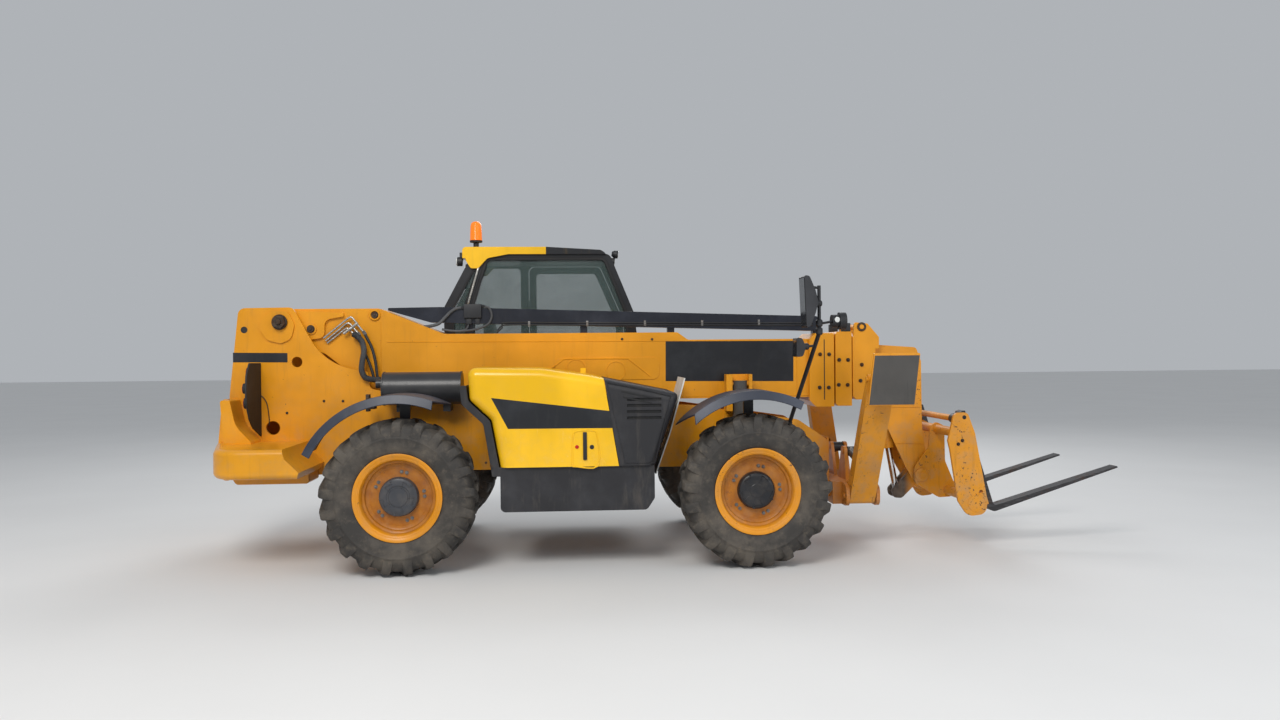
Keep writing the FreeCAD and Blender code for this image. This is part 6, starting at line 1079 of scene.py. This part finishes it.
def makeSeat():
    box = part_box("driver_seat")
    y = (box[0][1] + box[1][1]) / 2
    base = joined(*(
        block(at(x0, y - half, z0), at(x1, y + half, z1), round)
        for x0, x1, half, z0, z1, round in seat["base"]
    ))
    seatBase = piece("seat_base", base, "plastic", "chassis")
    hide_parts("driver_seat")
    (x0, z0), (x1, z1), half = seat["cushionLow"], seat["cushionHigh"], seat["cushionHalf"]
    bottom = cushion(at(x0, y - half, z0), at(x1, y + half, z1), seat["crown"])
    bottomPiece = piece("seat_cushion", bottom, "cloth", "chassis", 180)
    (thick, wide), (x, z) = seat["backHalf"], seat["backFoot"]
    back = cushion((-thick, -wide, 0), (thick, wide, seat["backTall"]), 0.0)
    lean = Matrix.Rotation(math.radians(seat["backLean"]), 4, "Y")
    for vertex in back.verts:
        vertex.co = at(x, y, z) + lean @ vertex.co
    backPiece = piece("seat_back", back, "cloth", "chassis", 180)
    print("seat")


# Beacon, lamps, mirrors and the small fittings.

beacon = {
    "base": (
        (0.0, 0.0), (0.0, 0.046), (0.024, 0.046), (0.030, 0.026), (0.078, 0.026), (0.084, 0.058),
        (0.100, 0.060), (0.104, 0.050), (0.104, 0.0),
    ),
    "dome": (
        (0.100, 0.052), (0.104, 0.057), (0.180, 0.055), (0.240, 0.052), (0.266, 0.044), (0.278, 0.030),
        (0.284, 0.0),
    ),
}
lamp = {
    "rearGlass": ((-0.004, 0.040), (0.004, 0.039), (0.010, 0.030), (0.013, 0.0)),
    "sideGlass": ((-0.004, 0.062), (0.002, 0.060), (0.008, 0.040), (0.010, 0.0)),
    "smallGlass": ((-0.002, 0.022), (0.003, 0.021), (0.005, 0.0)),
    "glasses": (  # profile, place, facing and segments of each pale glass
        ("rearGlass", (0.288, 0.400, 2.528), (-1, 0, 0), 32),
        ("rearGlass", (0.288, 1.120, 2.528), (-1, 0, 0), 32),
        ("sideGlass", (3.540, -0.850, 1.924), (1, 0, 0), 36),
        ("smallGlass", (3.462, -0.9018, 1.934), (0, -1, 0), 24),
    ),
    "frontY": (0.420, 1.100), "frontFacing": (1, 0, -0.12),
    "headAt": (1.742, 2.594), "glassAt": (1.760, 2.592),
    "stalk": ((1.640, 2.560), (1.690, 2.548), (1.735, 2.562)), "stalkRadius": 0.009,
    "frontHead": (
        (-0.040, 0.0), (-0.040, 0.020), (-0.020, 0.034), (0.012, 0.038), (0.018, 0.036), (0.016, 0.0)
    ),
    "frontGlass": ((0.0, 0.033), (0.003, 0.032), (0.005, 0.0)),
    "tail": (  # y, z, radius and look
        (0.480, 1.540, 0.052, "red"), (0.590, 1.420, 0.042, "amber"), (0.560, 1.300, 0.046, "red")
    ),
    "tailX": -1.312, "tailProfile": ((-0.003, 0.94), (0.002, 0.93), (0.006, 0.7), (0.007, 0.0)),
}


def makeLamps():
    (lowX, lowY, lowZ), (highX, highY, highZ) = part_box("beacon")
    centre = ((lowX + highX) / 2, (lowY + highY) / 2, lowZ)
    base = spun(beacon["base"], centre, (0, 0, 1), 40)
    piece("beacon_base", base, "plastic", "chassis")
    dome = spun(beacon["dome"], centre, (0, 0, 1), 40)
    domePiece = piece("beacon_dome", dome, "amber", "chassis")
    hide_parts("beacon")
    glasses = [
        spun(lamp[profile], at(*place), direction, segments)
        for profile, place, direction, segments in lamp["glasses"]
    ]
    piece("work_lamp_lenses", joined(*glasses), "clear", "chassis")
    heads, faces = [], []
    (headX, headZ), (glassX, glassZ) = lamp["headAt"], lamp["glassAt"]
    for y in lamp["frontY"]:
        heads.append(spun(lamp["frontHead"], at(headX, y, headZ), lamp["frontFacing"], 32))
        heads.append(pipe([(x, y, z) for x, z in lamp["stalk"]], lamp["stalkRadius"], 8, 6))
        faces.append(spun(lamp["frontGlass"], at(glassX, y, glassZ), lamp["frontFacing"], 28))
    piece("front_work_lamps", joined(*heads), "plastic", "chassis")
    piece("front_work_lamp_glasses", joined(*faces), "clear", "chassis")
    tails = {"red": [], "amber": []}
    for side, sign in sides:
        for y, z, radius, look in lamp["tail"]:
            profile = [(along, radius * share) for along, share in lamp["tailProfile"]]
            tails[look].append(spun(profile, at(lamp["tailX"], sign * y, z), (-1, 0, 0), 32))
    piece("tail_lamp_lenses", joined(*tails["red"]), "red", "chassis")
    piece("turn_lamp_lenses", joined(*tails["amber"]), "amber", "chassis")
    print("lamps")


fitting = {  # places along the machine are counted from the front axle, but for the sleeve and the pads
    "mirrors": (  # (x, z) corners of each face, and its y
        (((0.4055, 2.262), (0.4085, 2.262), (0.4235, 1.885), (0.4205, 1.885)), (-1.046, -0.876)),
        (((0.3475, 1.775), (0.3505, 1.775), (0.3475, 1.652), (0.3440, 1.652)), (-1.022, -0.898)),
    ),
    "clamp": ((-0.030, 0.0), (-0.030, 0.018), (-0.020, 0.027), (0.020, 0.027), (0.030, 0.018), (0.030, 0.0)),
    "clamps": (
        (0.540, -0.960, 2.062, (1, 0, 0)), (0.446, -0.908, 1.719, (1, 0, 0)),
        (0.548, -0.960, 1.840, (0, 0, 1)), (0.548, -0.960, 1.905, (0, 0, 1)),
    ),
    "sleeve": ((0.0, 0.0605), (0.0, 0.0622), (0.572, 0.0622), (0.572, 0.0605)),
    "sleeveFoot": (2.756, -0.368, 0.864),
    "padFace": ((3.6475, 1.2550), (4.0105, 1.2550), (4.0555, 1.6420), (3.6965, 1.6420)),
    "padFaces": (1.1310, 1.1335), "padRound": 0.0008,
}


def makeFittings():
    mirrors = [
        slab([(wheelbase + rearAxleX + x, z) for x, z in corners], *across)
        for corners, across in fitting["mirrors"]
    ]
    piece("mirror_faces", joined(*mirrors), "mirrorGlass", "chassis")
    clamps = [
        spun(fitting["clamp"], at(wheelbase + x, y, z), axis, 24) for x, y, z, axis in fitting["clamps"]
    ]
    piece("mirror_clamps", joined(*clamps), "plastic", "chassis")
    sleeve = spun(fitting["sleeve"], at(*fitting["sleeveFoot"]), (0, 0, 1), 40)
    piece("levelling_sleeve", sleeve, "greyPaint", "chassis")
    for side, sign in sides:
        face = sheet(fitting["padFace"], sign, *fitting["padFaces"], fitting["padRound"])
        piece(f"pad_sole_{side}", face, "greyPaint", f"{side}_pad")
    print("fittings")


# Hoses at the tower: three steel pipes, and the hoses that bend from the boom to the chassis.

towerHoses = {
    "steel": (  # along each pipe, from its foot at the tower to the union below the clamp
        ((-0.758, -0.258, 1.826), (-0.640, -0.258, 1.922), (-0.555, -0.258, 1.990), (-0.520, -0.258, 1.996),
         (-0.469, -0.262, 1.929), (-0.418, -0.266, 1.868)),
        ((-0.743, -0.246, 1.805), (-0.640, -0.246, 1.890), (-0.578, -0.246, 1.943), (-0.545, -0.248, 1.948),
         (-0.500, -0.254, 1.900), (-0.466, -0.262, 1.858)),
        ((-0.733, -0.236, 1.785), (-0.640, -0.236, 1.858), (-0.590, -0.236, 1.898), (-0.562, -0.238, 1.908),
         (-0.530, -0.242, 1.880), (-0.508, -0.246, 1.856)),
    ),
    "steelRadius": 0.0085,
    "clamp": ((-0.591, -0.264, 1.862), (-0.472, -0.264, 1.951)), "clampRadius": 0.013,
    "union": ((-0.018, 0.0), (-0.018, 0.015), (0.018, 0.015), (0.018, 0.0)), "unionFacing": (0.55, 0, -0.8),
    "unionRound": 0.002,
    "ribbed": (
        (-0.508, -0.262, 1.858), (-0.470, -0.275, 1.832), (-0.434, -0.290, 1.793), (-0.416, -0.305, 1.718),
        (-0.427, -0.322, 1.628), (-0.430, -0.334, 1.553), (-0.401, -0.338, 1.495), (-0.342, -0.336, 1.476),
        (-0.276, -0.336, 1.474),
    ),
    "ribbedRadius": 0.025, "ribbedSides": 12, "ribDepth": 0.88,
    "black": (
        ((-0.418, -0.266, 1.868), (-0.392, -0.270, 1.815), (-0.358, -0.276, 1.747), (-0.329, -0.286, 1.642),
         (-0.313, -0.292, 1.528), (-0.306, -0.292, 1.470)),
        ((-0.466, -0.262, 1.858), (-0.440, -0.262, 1.800), (-0.412, -0.264, 1.690), (-0.382, -0.272, 1.620),
         (-0.350, -0.284, 1.529), (-0.338, -0.288, 1.470)),
    ),
    "blackRadius": 0.012,
}


def makeTowerHoses():
    runs, count = towerHoses["steel"], towerHoses["ribbedSides"]
    pipes = joined(*(pipe(run, towerHoses["steelRadius"], 10, 6) for run in runs))
    piece("tower_steel_pipes", pipes, "zinc", "boom_base")
    clamp = pipe(towerHoses["clamp"], towerHoses["clampRadius"], 8, 1)
    piece("tower_pipe_clamp", clamp, "zinc", "boom_base")
    unions = [spun(towerHoses["union"], at(*run[-1]), towerHoses["unionFacing"], 6) for run in runs]
    for union in unions:
        rounded(union, towerHoses["unionRound"], 1)
    piece("tower_pipe_unions", joined(*unions), "steel", "boom_base")
    ribbed = pipe(towerHoses["ribbed"], towerHoses["ribbedRadius"], count, 24)
    ribbed.verts.ensure_lookup_table()
    for ring in range(1, len(ribbed.verts) // count, 2):  # every second ring is drawn in
        groove = [ribbed.verts[ring * count + step] for step in range(count)]
        centre = sum((vertex.co for vertex in groove), Vector()) / count
        for vertex in groove:
            vertex.co = centre + (vertex.co - centre) * towerHoses["ribDepth"]
    sleeve = piece("tower_ribbed_hose", ribbed, "greyHose", None, 60)
    black = joined(*(pipe(run, towerHoses["blackRadius"]) for run in towerHoses["black"]))
    hoses = piece("tower_black_hoses", black, "hose", None)
    for item in (sleeve, hoses):
        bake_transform(item)
    print("tower hoses")


# Hose tray on the boom: two thin pipes with clips, the junction block and its loops.

tray = {
    "pipe": ((0.683, 1.880), (0.730, 1.925), (0.775, 1.950), (1.274, 1.945), (2.400, 1.937), (3.440, 1.929)),
    "pipeY": -0.184, "pipeRadius": 0.006, "pipeSteps": (0.0, 0.020),
    "clips": (0.95, 1.45, 1.95, 2.45, 2.95), "clip": ((0.0, -0.192, 1.912), (0.020, -0.1795, 1.960)),
    "clipRound": 0.002, "unionRadii": (0.014, 0.010),
    "blocks": (  # low corner, high corner, rounding
        ((0.405, -0.215, 1.988), (0.556, -0.150, 2.109), 0.006),
        ((0.425, -0.200, 1.935), (0.470, -0.170, 1.990), 0.004),
        ((0.500, -0.200, 1.935), (0.540, -0.170, 1.990), 0.004),
    ),
    "unions": (  # length of the collar, whole length, place and facing
        (0.026, 0.040, (0.408, -0.185, 2.082), (-1, 0, -0.2)),
        (0.022, 0.036, (0.553, -0.185, 2.090), (1, 0, 0)),
    ),
    "loops": (  # radius, sides and the points of each hose
        (0.014, 10, (
            (0.380, -0.186, 2.080), (0.335, -0.190, 2.070), (0.290, -0.196, 2.040), (0.252, -0.200, 2.001),
            (0.197, -0.204, 1.946), (0.132, -0.204, 1.925), (0.060, -0.200, 1.915),
        )),
        (0.010, 10, (
            (0.585, -0.186, 2.090), (0.618, -0.190, 2.075), (0.640, -0.194, 2.030), (0.638, -0.196, 1.985),
            (0.605, -0.198, 1.933), (0.511, -0.200, 1.895), (0.400, -0.202, 1.880), (0.300, -0.202, 1.882),
            (0.220, -0.200, 1.895),
        )),
        (0.007, 8, (
            (0.432, -0.186, 1.990), (0.442, -0.190, 1.930), (0.420, -0.196, 1.893), (0.380, -0.200, 1.884),
        )),
    ),
}


def makeTray():
    for step in tray["pipeSteps"]:
        run = pipe([(x, tray["pipeY"], z - step) for x, z in tray["pipe"]], tray["pipeRadius"], 8, 3)
        piece(f"tray_pipe_{int(step * 1000)}", run, "hose", "boom_base")
    (lowX, lowY, lowZ), (highX, highY, highZ) = tray["clip"]
    clips = [
        block(at(x + lowX, lowY, lowZ), at(x + highX, highY, highZ), tray["clipRound"]) for x in tray["clips"]
    ]
    piece("tray_pipe_clips", joined(*clips), "steel", "boom_base")
    blocks = [block(at(*low), at(*high), round) for low, high, round in tray["blocks"]]
    wide, narrow = tray["unionRadii"]
    unions = [
        spun([(0.0, wide), (neck, wide), (neck, narrow), (end, narrow), (end, 0.0)], at(*place), direction, 6)
        for neck, end, place, direction in tray["unions"]
    ]
    piece("tray_junction_block", joined(*blocks, *unions), "plastic", "boom_base")
    loops = [pipe(points, radius, count) for radius, count, points in tray["loops"]]
    piece("tray_loop_hoses", joined(*loops), "greyHose", "boom_base")
    print("hose tray")


# Bracket behind the silencer, counted from the low corner of the silencer's box.

bracket = {
    "blocks": (
        ((-0.050, 0.060, 0.030), (0.002, 0.150, 0.120)), ((-0.075, 0.075, 0.010), (-0.045, 0.135, 0.150)),
    ),
    "round": 0.004,
}


def makeSilencerBracket():
    corner = Vector(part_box("silencer")[0])
    blocks = [
        block(corner + Vector(low), corner + Vector(high), bracket["round"])
        for low, high in bracket["blocks"]
    ]
    piece("silencer_rear_bracket", joined(*blocks), "rusty", "chassis")


makeWheels()
makeBoomSides()
makeCollars()
makeForkEnd()
makeTray()
makeTower()
makeHood()
makeCab()
makeSeat()
makeLamps()
makeFittings()
makeTowerHoses()
makeSilencerBracket()


# Floor, light and camera.

studio = {
    "floor": ((0.70, 0.70, 0.695), (0.76, 0.76, 0.755)), "sky": (0.86, 0.90, 0.95), "skyStrength": 0.50,
    "aim": (0, 0, 0.9),
    "lights": (  # name, place, size, power, colour
        ("keyLight", (-3.5, -9.0, 8.5), 5.0, 760, (1.0, 0.97, 0.93)),
        ("fillLight", (7.0, -8.0, 5.0), 7.0, 230, (0.93, 0.96, 1.0)),
        ("backLight", (1.0, 8.5, 8.0), 7.0, 430, (1.0, 1.0, 1.0)),
    ),
}
shot = {
    "place": (1.310, -8.680, 1.687), "yaw": 4.07, "pitch": -0.47, "roll": -0.50,
    "focal": 27.586, "sensor": 36,
}


def makeStage():
    floorMesh = bmesh.new()
    bmesh.ops.create_grid(floorMesh, x_segments=1, y_segments=1, size=60)
    data = bpy.data.meshes.new("floor")
    floorMesh.to_mesh(data)
    floorMesh.free()
    floor = bpy.data.objects.new("floor", data)
    bpy.context.scene.collection.objects.link(floor)
    tree = Tree("floorCoat")
    data.materials.append(tree.finish(tree.mix(tree.noise(0.6, 3), *studio["floor"]), 0.85))
    world = bpy.data.worlds.new("studio")
    bpy.context.scene.world = world
    world.use_nodes = True
    background = world.node_tree.nodes["Background"]
    background.inputs["Color"].default_value = (*studio["sky"], 1)
    background.inputs["Strength"].default_value = studio["skyStrength"]
    for name, place, size, power, colour in studio["lights"]:
        light = bpy.data.lights.new(name, "AREA")
        light.shape = "DISK"
        light.size = size
        light.energy = power
        light.color = colour
        holder = bpy.data.objects.new(name, light)
        holder.location = place
        holder.rotation_euler = (Vector(studio["aim"]) - Vector(place)).to_track_quat("-Z", "Y").to_euler()
        bpy.context.scene.collection.objects.link(holder)


def makeCamera():
    camera = bpy.data.cameras.new("camera")
    camera.sensor_width = shot["sensor"]
    camera.lens = shot["focal"]
    holder = bpy.data.objects.new("camera", camera)
    turn = (
        Matrix.Rotation(math.radians(-shot["yaw"]), 4, "Z")
        @ Matrix.Rotation(math.radians(90 + shot["pitch"]), 4, "X")
        @ Matrix.Rotation(math.radians(shot["roll"]), 4, "Z")
    )
    holder.matrix_world = Matrix.Translation(at(*shot["place"])) @ turn
    bpy.context.scene.collection.objects.link(holder)
    bpy.context.scene.camera = holder
    bpy.context.scene.view_settings.view_transform = "Standard"


makeStage()
makeCamera()
print("stage")
